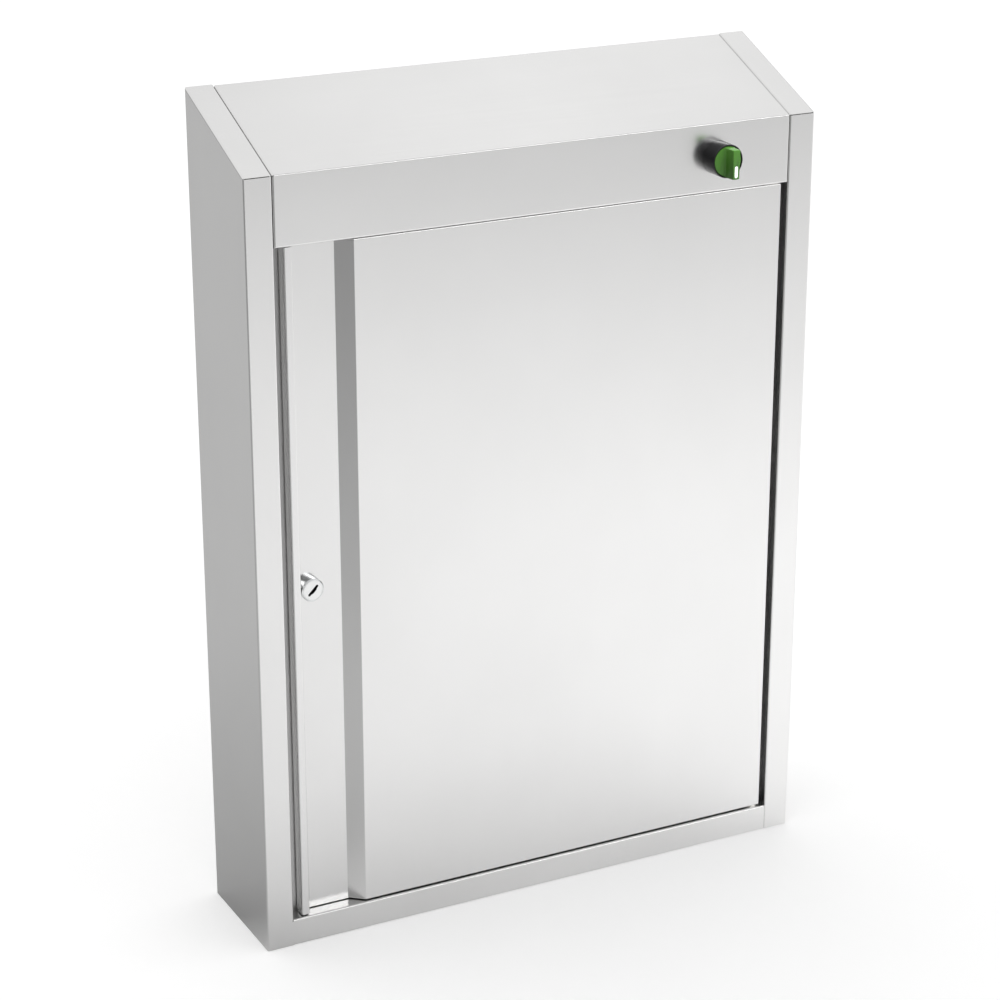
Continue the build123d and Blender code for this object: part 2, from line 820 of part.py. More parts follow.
keeper_y = cam_front - keeper_gap
keeper_foot_y = latch_stop_y + body_sheet
keeper_rise = keeper_height / 2 + keeper_foot
with BuildPart() as lock_keeper:
    keeper_line = [
        (keeper_foot_y + body_sheet, lock_z - keeper_rise),
        (keeper_foot_y + body_sheet, lock_z - keeper_height / 2),
        (keeper_y, lock_z - keeper_height / 2),
        (keeper_y, lock_z + keeper_height / 2),
        (keeper_foot_y + body_sheet, lock_z + keeper_height / 2),
        (keeper_foot_y + body_sheet, lock_z + keeper_rise),
    ]
    keeper_bends = [bend - body_sheet, bend, bend, bend - body_sheet]
    keeper_plane = facing_right(latch_stop_right - keeper_width)
    section = folded(keeper_plane, keeper_line, body_sheet, keeper_bends)
    extrude(section, amount=keeper_width)
save(lock_keeper, "lock_keeper")

# ---- Selector switch ----
stem_end = front + selector_stem_length
with BuildPart() as selector_bezel:
    extrude(disc(facing_front(selector_x, front, fascia_middle), selector_radius), amount=selector_height)
    fillet(
        selector_bezel.edges().filter_by(GeomType.CIRCLE).group_by(Axis.Y)[0],
        radius=selector_ring / 3,
    )
    stem = disc(facing_back(selector_x, front, fascia_middle), selector_stem_radius)
    extrude(stem, amount=selector_stem_length)
    recess = disc(facing_back(selector_x, selector_front, fascia_middle), selector_radius - selector_ring)
    extrude(recess, amount=knob_recess, mode=Mode.SUBTRACT)
    bore = disc(
        facing_back(selector_x, selector_front, fascia_middle), knob_shaft_radius + knob_shaft_clear
    )
    extrude(bore, amount=selector_height + selector_stem_length, mode=Mode.SUBTRACT)
save(selector_bezel, "selector_bezel")

with BuildPart() as selector_nut:
    nut_plane = facing_back(selector_x, front + body_sheet, fascia_middle)
    extrude(hexagon(nut_plane, selector_nut_flats), amount=selector_nut_thickness)
    extrude(disc(nut_plane, selector_stem_radius), amount=selector_nut_thickness, mode=Mode.SUBTRACT)
save(selector_nut, "selector_nut")

knob_radius = selector_radius - selector_ring - knob_clear
knob_face = selector_front + knob_sink
knob_back = selector_front + knob_recess - knob_clear
grip_front = selector_front - knob_grip_height
with BuildPart() as selector_knob:
    extrude(disc(facing_front(selector_x, knob_back, fascia_middle), knob_radius), amount=knob_back - knob_face)
    # Grip bar, a slice of the knob's own round, drawn in towards its front
    with BuildSketch(facing_front(selector_x, knob_face, fascia_middle)) as grip:
        Circle(knob_radius - knob_sink)
        Rectangle(knob_grip_width + knob_flare, 2 * knob_radius, mode=Mode.INTERSECT)
    extrude(amount=knob_face - grip_front, taper=knob_grip_draft)
    shaft = disc(facing_back(selector_x, knob_back, fascia_middle), knob_shaft_radius)
    extrude(shaft, amount=stem_end - knob_back)
    with BuildSketch(facing_front(selector_x, grip_front, fascia_middle)) as pointer_groove:
        with Locations((0, -pointer_centre)):
            SlotOverall(pointer_length, pointer_width, rotation=90)
    extrude(amount=-pointer_depth, mode=Mode.SUBTRACT)
save(selector_knob, "selector_knob")

with BuildPart() as knob_pointer:
    with BuildSketch(facing_front(selector_x, grip_front + pointer_depth, fascia_middle)) as pointer:
        with Locations((0, -pointer_centre)):
            SlotOverall(pointer_length, pointer_width, rotation=90)
    extrude(amount=pointer_depth)
save(knob_pointer, "knob_pointer")

with BuildPart() as switch_collar:
    collar_plane = facing_back(selector_x, collar_front, fascia_middle)
    extrude(rectangle(collar_plane, collar_size, collar_size), amount=collar_thickness)
    extrude(disc(collar_plane, selector_stem_radius), amount=collar_thickness, mode=Mode.SUBTRACT)
    fillet(switch_collar.edges().filter_by(Axis.Y), radius=collar_size / 15)
save(switch_collar, "switch_collar")

with BuildPart() as contact_blocks:
    for shift in (-contact_pitch, contact_pitch):
        block_plane = facing_back(selector_x + shift, contact_front, fascia_middle)
        extrude(rectangle(block_plane, contact_width, contact_height), amount=contact_depth)
    fillet(contact_blocks.edges().filter_by(Axis.X), radius=contact_width / 10)
save(contact_blocks, "contact_blocks")

with BuildPart() as led_block:
    led_plane = facing_back(selector_x, contact_front, fascia_middle)
    extrude(rectangle(led_plane, led_width, contact_height), amount=contact_depth)
save(led_block, "led_block")

# ---- Ultraviolet lamp ----
lamp_y = (reed_back + back_panel_y) / 2 + lamp_behind_middle
lamp_z = partition_z - lamp_drop
lamp_left = -lamp_length / 2
lamp_right = lamp_length / 2
with BuildPart() as uv_lamp_tube:
    tube_length = lamp_length - 2 * lamp_cap_end
    tube_plane = facing_right(lamp_left + lamp_cap_end, lamp_y, lamp_z)
    extrude(disc(tube_plane, lamp_radius), amount=tube_length)
    extrude(disc(tube_plane, lamp_radius - lamp_wall), amount=tube_length, mode=Mode.SUBTRACT)
save(uv_lamp_tube, "uv_lamp_tube")

pin_shifts = (-lamp_pin_spacing / 2, lamp_pin_spacing / 2)
with BuildPart() as lamp_end_caps:
    for hand, x in ((1, lamp_left), (-1, lamp_right)):
        end_plane = facing_right(x, lamp_y, lamp_z)
        extrude(disc(end_plane, lamp_radius + lamp_cap_wall), amount=hand * lamp_cap_length)
        seat = disc(facing_right(x + hand * lamp_cap_end, lamp_y, lamp_z), lamp_radius)
        extrude(seat, amount=hand * lamp_cap_length, mode=Mode.SUBTRACT)
        for shift in pin_shifts:
            pin = disc(facing_right(x, lamp_y, lamp_z + shift), lamp_pin_radius)
            extrude(pin, amount=-hand * lamp_pin_length)
save(lamp_end_caps, "lamp_end_caps")

with BuildPart() as lampholders:
    for hand in (-1, 1):
        inner_x = hand * (lamp_length / 2 + holder_gap)
        holder_height = partition_z - lamp_z + holder_below
        with BuildSketch(facing_right(inner_x, lamp_y, lamp_z - holder_below)) as holder:
            with Locations((0, holder_height / 2)):
                RectangleRounded(holder_width, holder_height, holder_width / 8)
        extrude(amount=hand * holder_thickness)
        for shift in pin_shifts:
            socket = disc(facing_right(inner_x, lamp_y, lamp_z + shift), lamp_pin_radius + hole_clear)
            extrude(socket, amount=hand * lamp_pin_length, mode=Mode.SUBTRACT)
save(lampholders, "lampholders")

with BuildPart() as lamp_reflector:
    reflector_line = [
        (back_panel_y - reflector_rear_gap, partition_z - reflector_drop),
        (lamp_y + reflector_width / 2, partition_z),
        (lamp_y - reflector_width / 2, partition_z),
        (reed_back + reflector_front_gap, partition_z - reflector_drop),
    ]
    reflector_plane = facing_right(-reflector_length / 2)
    section = folded(reflector_plane, reflector_line, reflector_sheet, [bend, bend])
    extrude(section, amount=reflector_length)
save(lamp_reflector, "lamp_reflector")

hoop_reach = lamp_radius + guard_gap + guard_hoop_radius
guard_top = partition_z - reflector_sheet
with BuildPart() as guard_hoops:
    for number in range(guard_hoop_count):
        hoop_x = guard_length * (number / (guard_hoop_count - 1) - 0.5)
        with BuildLine(facing_right(hoop_x, lamp_y, lamp_z)) as hoop:
            FilletPolyline(
                (-hoop_reach, guard_top - lamp_z),
                (-hoop_reach, -hoop_reach),
                (hoop_reach, -hoop_reach),
                (hoop_reach, guard_top - lamp_z),
                radius=guard_bend,
            )
        with BuildSketch(level(hoop_x, lamp_y - hoop_reach, guard_top)) as hoop_section:
            Circle(guard_hoop_radius)
        sweep()
save(guard_hoops, "guard_hoops")

# Three straight wires spot-welded to the inside of the hoops
wire_reach = hoop_reach - guard_hoop_radius - guard_wire_radius
with BuildPart() as guard_wires:
    for y, z in ((-wire_reach, 0), (0, -wire_reach), (wire_reach, 0)):
        wire_plane = facing_right(-guard_length / 2 - guard_overhang, lamp_y + y, lamp_z + z)
        extrude(disc(wire_plane, guard_wire_radius), amount=guard_length + 2 * guard_overhang)
save(guard_wires, "guard_wires")

# ---- Electrics on top of the partition ----
ballast_left = ballast_x - ballast_length / 2
ballast_screw_xs = (ballast_left + ballast_foot / 2, ballast_left + ballast_length - ballast_foot / 2)
with BuildPart() as ballast:
    core_length = ballast_length - 2 * ballast_foot
    extrude(
        rectangle(level(ballast_x, electrics_y, partition_top), core_length, ballast_width),
        amount=ballast_height,
    )
    fillet(ballast.edges().filter_by(Axis.X).group_by(Axis.Z)[-1], radius=ballast_height / 10)
    extrude(
        rectangle(level(ballast_x, electrics_y, partition_top), ballast_length, ballast_width),
        amount=ballast_foot_thickness,
    )
    for x in ballast_screw_xs:
        screw_hole = disc(level(x, electrics_y, partition_top), screw_radius)
        extrude(screw_hole, amount=ballast_foot_thickness, mode=Mode.SUBTRACT)
save(ballast, "ballast")

with BuildPart() as ballast_screws:
    for x in ballast_screw_xs:
        seat = level(x, electrics_y, partition_top + ballast_foot_thickness)
        extrude(disc(seat, screw_radius), amount=-ballast_foot_thickness)
        extrude(disc(seat, screw_head_radius), amount=screw_head)
save(ballast_screws, "ballast_screws")

with BuildPart() as starter_holder:
    size = starter_holder_size
    holder_plane = level(starter_x, electrics_y, partition_top)
    extrude(rectangle(holder_plane, size, size), amount=starter_holder_height)
    fillet(starter_holder.edges().filter_by(Axis.Z), radius=size / 10)
    seat_plane = level(starter_x, electrics_y, partition_top + starter_holder_height - starter_seat)
    extrude(disc(seat_plane, starter_radius + hole_clear), amount=starter_seat, mode=Mode.SUBTRACT)
save(starter_holder, "starter_holder")

with BuildPart() as starter:
    extrude(disc(seat_plane, starter_radius), amount=starter_length)
    fillet(starter.edges().sort_by(Axis.Z)[-1], radius=starter_radius / 6)
save(starter, "starter")

terminal_xs = [
    terminal_x + terminal_pitch * (pole - (terminal_poles - 1) / 2) for pole in range(terminal_poles)
]
with BuildPart() as terminal_block:
    block_plane = level(terminal_x, electrics_y, partition_top)
    extrude(rectangle(block_plane, terminal_pitch * terminal_poles, terminal_width), amount=terminal_height)
    for x in terminal_xs:
        for shift in (-terminal_width / 4, terminal_width / 4):
            well = disc(level(x, electrics_y + shift, partition_top + terminal_height), screw_radius)
            extrude(well, amount=-terminal_screw_depth, mode=Mode.SUBTRACT)
save(terminal_block, "terminal_block")

with BuildPart() as terminal_screws:
    for x in terminal_xs:
        for shift in (-terminal_width / 4, terminal_width / 4):
            bottom = partition_top + terminal_height - terminal_screw_depth
            screw = disc(level(x, electrics_y + shift, bottom), screw_radius - hole_clear)
            extrude(screw, amount=terminal_screw_depth / 2)
save(terminal_screws, "terminal_screws")

with BuildPart() as earth_stud:
    extrude(disc(level(earth_x, electrics_y, partition_top), earth_stud_radius), amount=earth_stud_length)
    chamfer(earth_stud.edges().sort_by(Axis.Z)[-1], length=earth_stud_radius / 5)
save(earth_stud, "earth_stud")

with BuildPart() as earth_nut:
    nut_plane = level(earth_x, electrics_y, partition_top)
    extrude(hexagon(nut_plane, earth_nut_flats), amount=earth_nut_thickness)
    extrude(disc(nut_plane, earth_stud_radius), amount=earth_nut_thickness, mode=Mode.SUBTRACT)
save(earth_nut, "earth_nut")

with BuildPart() as cable_grommet:
    inside = facing_back(grommet_x, back_panel_y - grommet_flange, grommet_z)
    extrude(disc(inside, grommet_flange_radius), amount=grommet_flange)
    extrude(disc(inside, grommet_hole_radius), amount=grommet_flange + body_sheet)
    outside = facing_back(grommet_x, back_panel_y + body_sheet, grommet_z)
    extrude(disc(outside, grommet_flange_radius), amount=grommet_lip)
    grommet_length = grommet_flange + body_sheet + grommet_lip
    extrude(disc(inside, grommet_bore_radius), amount=grommet_length, mode=Mode.SUBTRACT)
save(cable_grommet, "cable_grommet")

# ---- Door switch ----
switch_x = left + door_switch_inset
magnet_top = partition_z - reed_height - door_switch_gap
with BuildPart() as door_magnet:
    with BuildSketch(level(switch_x, door_back, magnet_top - magnet_height)) as magnet:
        Rectangle(magnet_length, magnet_depth, align=(Align.CENTER, Align.MIN))
    extrude(amount=magnet_height)
    fillet(door_magnet.edges().group_by(Axis.Y)[-1], radius=magnet_depth / 8)
save(door_magnet, "door_magnet")

with BuildPart() as reed_switch:
    with BuildSketch(level(switch_x, reed_front, partition_z - reed_height)) as reed:
        Rectangle(reed_length, reed_width, align=(Align.CENTER, Align.MIN))
    extrude(amount=reed_height)
    fillet(reed_switch.edges().group_by(Axis.Z)[0], radius=reed_height / 8)
save(reed_switch, "reed_switch")

# ---- Magnetic knife rail on the back panel ----
knife_screw_xs = (-knife_screw_spacing / 2, knife_screw_spacing / 2)
rail_front = back_panel_y - knife_rail_depth
with BuildPart() as knife_rail:
    rail_plane = facing_back(0, rail_front, knife_rail_z)
    extrude(rectangle(rail_plane, knife_rail_length, knife_rail_height), amount=knife_rail_depth)
    at_wall = knife_rail.edges().group_by(Axis.Y)[-1]
    fillet([edge for edge in knife_rail.edges() if edge not in at_wall], radius=knife_rail_bend)
    inside_plane = facing_back(0, rail_front + knife_rail_sheet, knife_rail_z)
    inside_length = knife_rail_length - 2 * knife_rail_bend
    inside_height = knife_rail_height - 2 * knife_rail_sheet
    hollow = rectangle(inside_plane, inside_length, inside_height)
    extrude(hollow, amount=knife_rail_depth, mode=Mode.SUBTRACT)
    for x in knife_screw_xs:
        screw_hole = disc(facing_back(x, rail_front, knife_rail_z), screw_radius + hole_clear)
        extrude(screw_hole, amount=knife_rail_sheet, mode=Mode.SUBTRACT)
save(knife_rail, "knife_rail")

with BuildPart() as knife_rail_magnets:
    magnet_height_inside = knife_rail_height - 2 * knife_magnet_inset
    extrude(
        rectangle(inside_plane, inside_length - 2 * knife_magnet_inset, magnet_height_inside),
        amount=knife_magnet_depth,
    )
    for x in knife_screw_xs:
        screw_hole = disc(
            facing_back(x, rail_front + knife_rail_sheet, knife_rail_z), screw_radius + hole_clear
        )
        extrude(screw_hole, amount=knife_magnet_depth, mode=Mode.SUBTRACT)
save(knife_rail_magnets, "knife_rail_magnets")

with BuildPart() as knife_rail_screws:
    for x in knife_screw_xs:
        seat = facing_back(x, rail_front, knife_rail_z)
        extrude(disc(seat, screw_radius), amount=knife_rail_depth)
        extrude(disc(seat, screw_head_radius), amount=-screw_head)
save(knife_rail_screws, "knife_rail_screws")
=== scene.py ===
"""Looks of a stainless wall cabinet that sterilises knives under an ultraviolet lamp.

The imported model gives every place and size. This script lights it, dresses its sheet metal and
fittings, and builds the small turned and moulded parts in full detail. Lengths are in metres.
"""

import json
import logging
import math
from dataclasses import dataclass
from enum import Enum
from typing import Callable, Sequence

import bmesh
import bpy
from mathutils import Matrix, Vector

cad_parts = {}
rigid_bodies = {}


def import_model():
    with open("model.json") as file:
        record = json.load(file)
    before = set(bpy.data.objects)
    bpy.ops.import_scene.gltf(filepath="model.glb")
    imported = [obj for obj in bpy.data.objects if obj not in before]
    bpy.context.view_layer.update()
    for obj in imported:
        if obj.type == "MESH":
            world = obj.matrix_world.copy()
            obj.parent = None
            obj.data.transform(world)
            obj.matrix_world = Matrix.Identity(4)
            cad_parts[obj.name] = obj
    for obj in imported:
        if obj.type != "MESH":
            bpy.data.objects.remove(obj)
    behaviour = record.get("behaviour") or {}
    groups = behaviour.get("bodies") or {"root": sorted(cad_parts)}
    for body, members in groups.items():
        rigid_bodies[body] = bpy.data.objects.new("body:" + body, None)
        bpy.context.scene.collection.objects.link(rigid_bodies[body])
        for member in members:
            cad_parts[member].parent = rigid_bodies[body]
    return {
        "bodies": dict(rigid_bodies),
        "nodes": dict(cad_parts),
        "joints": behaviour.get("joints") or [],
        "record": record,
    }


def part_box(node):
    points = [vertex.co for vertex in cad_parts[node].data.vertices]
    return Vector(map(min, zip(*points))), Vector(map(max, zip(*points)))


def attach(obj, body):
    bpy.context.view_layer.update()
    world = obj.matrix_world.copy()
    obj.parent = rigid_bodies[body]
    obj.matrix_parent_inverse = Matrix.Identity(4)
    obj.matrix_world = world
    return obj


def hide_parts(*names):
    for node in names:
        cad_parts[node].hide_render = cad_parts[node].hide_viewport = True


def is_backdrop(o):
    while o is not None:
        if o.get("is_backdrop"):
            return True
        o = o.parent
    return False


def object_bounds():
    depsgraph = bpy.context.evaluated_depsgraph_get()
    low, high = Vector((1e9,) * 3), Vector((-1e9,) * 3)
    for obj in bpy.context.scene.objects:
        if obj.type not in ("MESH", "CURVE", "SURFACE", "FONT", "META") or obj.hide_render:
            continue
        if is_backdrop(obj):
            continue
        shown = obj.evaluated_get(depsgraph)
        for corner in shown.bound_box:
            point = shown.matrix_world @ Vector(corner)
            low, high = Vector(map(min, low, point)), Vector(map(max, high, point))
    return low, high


LOG = logging.getLogger("knife_cabinet")
MM = 0.001
THREAD_PITCH = 1.0
THREAD_DEPTH = 0.45

Colour = tuple[float, float, float]
Outline = Sequence[tuple[float, float]]
Stops = tuple[tuple[float, float], ...]
Piece = bpy.types.Object
Socket = bpy.types.NodeSocket
Value = Socket | float

OUT = Vector((0, -1, 0))
IN = Vector((0, 1, 0))
UP = Vector((0, 0, 1))
RIGHT = Vector((1, 0, 0))


class Body(Enum):
    """The bodies of the cabinet that move by themselves."""

    CABINET = "cabinet"
    DOOR = "door"
    LOCK = "lock_cylinder"
    SELECTOR = "selector"


class Grain(Enum):
    """The direction that a sheet was ground in, as the share of a stroke's pitch along X, Y and Z."""

    UPRIGHT = (1.0, 1.0, 0.012)
    ACROSS = (0.012, 1.0, 1.0)
    NONE = (1.0, 1.0, 1.0)


# ---- Finishes ----


class Graph:
    """A node tree, with one short call for each kind of node that finishes and studio share."""

    def __init__(self, tree: bpy.types.NodeTree) -> None:
        """Empties the tree."""
        self.tree = tree
        tree.nodes.clear()

    def node(self, kind: str) -> bpy.types.Node:
        """Adds one node of the kind."""
        return self.tree.nodes.new(kind)

    def link(self, source: Socket, target: Socket) -> None:
        """Joins an output to an input."""
        self.tree.links.new(source, target)

    def axes(self, source: str) -> bpy.types.NodeSocketVirtual:
        """Returns the X, Y and Z outputs of one kind of coordinates."""
        coordinates = self.node("ShaderNodeTexCoord")
        split = self.node("ShaderNodeSeparateXYZ")
        self.link(coordinates.outputs[source], split.inputs["Vector"])
        return split.outputs

    def span(
        self, value: Socket, low: float, high: float, from_low: float = 0.25, from_high: float = 0.75
    ) -> Socket:
        """Maps a pattern from one range of values to another and returns the result."""
        node = self.node("ShaderNodeMapRange")
        settings = (("From Min", from_low), ("From Max", from_high), ("To Min", low), ("To Max", high))
        for name, setting in settings:
            node.inputs[name].default_value = setting
        self.link(value, node.inputs["Value"])
        return node.outputs["Result"]

    def curve(self, value: Socket, stops: Stops) -> Socket:
        """Maps a value by straight lines between stops.

        Args:
            value: The value that is mapped.
            stops: Pairs of a value and its result, in rising order of the values.

        Returns:
            The result.
        """
        first, last = stops[0][0], stops[-1][0]
        ramp = self.node("ShaderNodeValToRGB")
        elements = ramp.color_ramp.elements
        while len(elements) < len(stops):
            elements.new(0.5)
        for element, (spot, result) in zip(elements, stops):
            element.position = (spot - first) / (last - first)
            element.color = (result, result, result, 1.0)
        self.link(self.span(value, 0.0, 1.0, first, last), ramp.inputs["Fac"])
        return ramp.outputs["Color"]

    def sum(self, operation: str, first: Socket, *others: Value) -> Socket:
        """Works one sum on a value and other values or constants."""
        node = self.node("ShaderNodeMath")
        node.operation = operation
        self.link(first, node.inputs[0])
        for socket, other in zip(node.inputs[1:], others):
            if isinstance(other, (int, float)):
                socket.default_value = other
            else:
                self.link(other, socket)
        return node.outputs["Value"]

    def choose(self, share: Socket, first: Value, second: Value) -> Socket:
        """Goes from the first value to the second as share goes from 0 to 1."""
        node = self.node("ShaderNodeMix")
        self.link(share, node.inputs["Factor"])
        for name, value in (("A", first), ("B", second)):
            if isinstance(value, (int, float)):
                node.inputs[name].default_value = value
            else:
                self.link(value, node.inputs[name])
        return node.outputs["Result"]


class Recipe(Graph):
    """Node tree of one material."""

    def __init__(self, name: str) -> None:
        """Starts a material that has only its shader and its output."""
        self.material = bpy.data.materials.new(name)
        self.material.use_nodes = True
        super().__init__(self.material.node_tree)
        self.shader = self.node("ShaderNodeBsdfPrincipled")
        output = self.node("ShaderNodeOutputMaterial")
        self.link(self.shader.outputs["BSDF"], output.inputs["Surface"])

    def put(self, **values: float | tuple[float, ...]) -> None:
        """Sets sockets of the shader, named with _ for each space."""
        for name, value in values.items():
            self.shader.inputs[name.replace("_", " ")].default_value = value

    def drive(self, socket: str, source: Socket) -> None:
        """Lets a pattern drive one socket of the shader."""
        self.link(source, self.shader.inputs[socket])

    def place(self, scale: tuple[float, float, float] = (1.0, 1.0, 1.0)) -> Socket:
        """Returns the object's own coordinates, stretched by scale."""
        coordinates = self.node("ShaderNodeTexCoord")
        mapping = self.node("ShaderNodeMapping")
        mapping.inputs["Scale"].default_value = scale
        self.link(coordinates.outputs["Object"], mapping.inputs["Vector"])
        return mapping.outputs["Vector"]

    def noise(self, place: Socket, per_metre: float, detail: float = 3.0, roughness: float = 0.55) -> Socket:
        """Adds a noise pattern.

        Args:
            place: The coordinates it reads.
            per_metre: How many patches lie in a metre.
            detail: How many finer octaves it has.
            roughness: How strong those octaves are.

        Returns:
            The pattern's value, about 0.5 on average.
        """
        pattern = self.node("ShaderNodeTexNoise")
        pattern.inputs["Scale"].default_value = per_metre
        pattern.inputs["Detail"].default_value = detail
        pattern.inputs["Roughness"].default_value = roughness
        self.link(place, pattern.inputs["Vector"])
        return pattern.outputs["Fac"]

    def cells(self, place: Socket, per_metre: float) -> Socket:
        """Adds a pattern of cells and returns the distance to the nearest cell's middle."""
        pattern = self.node("ShaderNodeTexVoronoi")
        pattern.inputs["Scale"].default_value = per_metre
        self.link(place, pattern.inputs["Vector"])
        return pattern.outputs["Distance"]

    def blend(self, share: Socket, first: Colour, second: Colour) -> Socket:
        """Mixes two colours by a pattern and returns the mix."""
        node = self.node("ShaderNodeMix")
        node.data_type = "RGBA"
        node.inputs["A"].default_value = (*first, 1.0)
        node.inputs["B"].default_value = (*second, 1.0)
        self.link(share, node.inputs["Factor"])
        return node.outputs["Result"]

    def total(self, first: Socket, second: Socket, share: float = 1.0) -> Socket:
        """Adds share of the second value to the first and returns the sum."""
        return self.sum("MULTIPLY_ADD", second, share, first)

    def relief(self, height: Socket, depth: float, strength: float = 1.0) -> None:
        """Raises the surface by height times depth, in metres."""
        bump = self.node("ShaderNodeBump")
        bump.inputs["Strength"].default_value = strength
        bump.inputs["Distance"].default_value = depth
        self.link(height, bump.inputs["Height"])
        self.drive("Normal", bump.outputs["Normal"])


def shaded(colour: Colour, factor: float) -> Colour:
    """Returns a colour that many times as bright."""
    return (colour[0] * factor, colour[1] * factor, colour[2] * factor)


@dataclass(frozen=True)
class Finish:
    """What every finish has: its name, the record's slot it stands for and its base colour."""

    name: str
    slot: str
    colour: Colour
    roughness: float

    def make(self) -> bpy.types.Material:
        """Builds the material."""
        recipe = Recipe(self.name)
        self.fill(recipe)
        return recipe.material

    def fill(self, recipe: Recipe) -> None:
        """Adds the finish's own nodes."""
        raise NotImplementedError


@dataclass(frozen=True)
class Metal(Finish):
    """Bare or plated metal, ground in one direction, with handling marks."""

    grain: Grain = Grain.UPRIGHT
    stroke: float = 0.03
    groove: float = 8e-7
    cloud: float = 0.025
    tint: Colour = (1.0, 1.0, 1.0)

    def fill(self, recipe: Recipe) -> None:
        """Adds fine strokes along the grain, broad soft clouds and faint wiping marks."""
        strokes = recipe.noise(recipe.place(self.grain.value), 2600.0, 4.0, 0.7)
        coarse = recipe.noise(recipe.place(self.grain.value), 520.0, 2.0)
        clouds = recipe.noise(recipe.place(), 7.0, 3.0)
        marks = recipe.noise(recipe.place((1.0, 1.0, 0.35)), 45.0, 5.0, 0.65)
        tone = recipe.total(recipe.total(clouds, strokes, 0.35), coarse, 0.25)
        dark = tuple(c * (1.0 - self.stroke) for c in self.colour)
        light = tuple(min(1.0, c * t * (1.0 + self.stroke)) for c, t in zip(self.colour, self.tint))
        recipe.drive("Base Color", recipe.blend(recipe.span(tone, 0.0, 1.0, 0.55, 1.05), dark, light))
        wear = recipe.total(recipe.total(clouds, marks, 0.5), strokes, 0.4)
        low, high = self.roughness - self.cloud, self.roughness + self.cloud
        recipe.drive("Roughness", recipe.span(wear, low, high, 0.65, 1.25))
        recipe.relief(recipe.total(strokes, coarse, 0.6), self.groove)
        recipe.put(Metallic=1.0)


@dataclass(frozen=True)
class Moulded(Finish):
    """Moulded plastic or rubber, with the fine spark-eroded texture of its mould."""

    texture: float = 1.5e-5
    pitch: float = 2400.0
    variation: float = 0.06
    coat: float = 0.0
    shine: float = 0.5
    depth: float = 0.0

    def fill(self, recipe: Recipe) -> None:
        """Adds the mould's texture, slow flow clouds and polished handling patches."""
        spark = recipe.noise(recipe.place(), self.pitch, 3.0, 0.6)
        pits = recipe.cells(recipe.place(), self.pitch * 0.6)
        flow = recipe.noise(recipe.place(), 60.0, 3.0)
        dark = shaded(self.colour, 1.0 - self.variation)
        light = shaded(self.colour, 1.0 + self.variation)
        recipe.drive("Base Color", recipe.blend(recipe.span(flow, 0.0, 1.0), dark, light))
        worn = recipe.total(flow, spark, 0.5)
        recipe.drive("Roughness", recipe.span(worn, self.roughness - 0.05, self.roughness + 0.06, 0.5, 1.0))
        recipe.relief(recipe.total(spark, pits, 0.5), self.texture)
        recipe.put(Coat_Weight=self.coat, Coat_Roughness=0.12, Specular_IOR_Level=self.shine)
        if self.depth > 0.0:
            recipe.put(Subsurface_Weight=self.depth, Subsurface_Scale=0.003)
            recipe.put(Subsurface_Radius=(0.6, 1.0, 0.5))


@dataclass(frozen=True)
class Enamel(Finish):
    """Stove enamel over steel, with a slight orange peel."""

    def fill(self, recipe: Recipe) -> None:
        """Adds orange peel, dust specks and a slow change of tone."""
        peel = recipe.noise(recipe.place(), 420.0, 2.0)
        specks = recipe.cells(recipe.place(), 900.0)
        clouds = recipe.noise(recipe.place(), 25.0, 4.0)
        tone = recipe.blend(recipe.span(clouds, 0.0, 1.0), shaded(self.colour, 0.93), self.colour)
        recipe.drive("Base Color", tone)
        recipe.drive("Roughness", recipe.span(clouds, self.roughness - 0.05, self.roughness + 0.08))
        recipe.relief(recipe.total(peel, specks, 0.2), 2.5e-5)


@dataclass(frozen=True)
class Quartz(Finish):
    """Clear quartz glass, greyed a little towards the lamp's ends by its electrodes."""

    reach: float = 0.19

    def fill(self, recipe: Recipe) -> None:
        """Adds faint drawing lines along the tube and the grey of the ends."""
        along = recipe.sum("ABSOLUTE", recipe.axes("Object")["X"])
        ends = recipe.span(along, 0.0, 1.0, self.reach - 0.02, self.reach + 0.02)
        recipe.drive("Base Color", recipe.blend(ends, self.colour, shaded(self.colour, 0.55)))
        lines = recipe.noise(recipe.place((0.02, 1.0, 1.0)), 700.0, 2.0)
        recipe.drive("Roughness", recipe.span(lines, 0.01, self.roughness))
        recipe.put(Transmission_Weight=1.0, IOR=1.46)


SATIN = (0.805, 0.802, 0.798)
MILL = (0.735, 0.733, 0.730)
ZINC = (0.70, 0.71, 0.74)


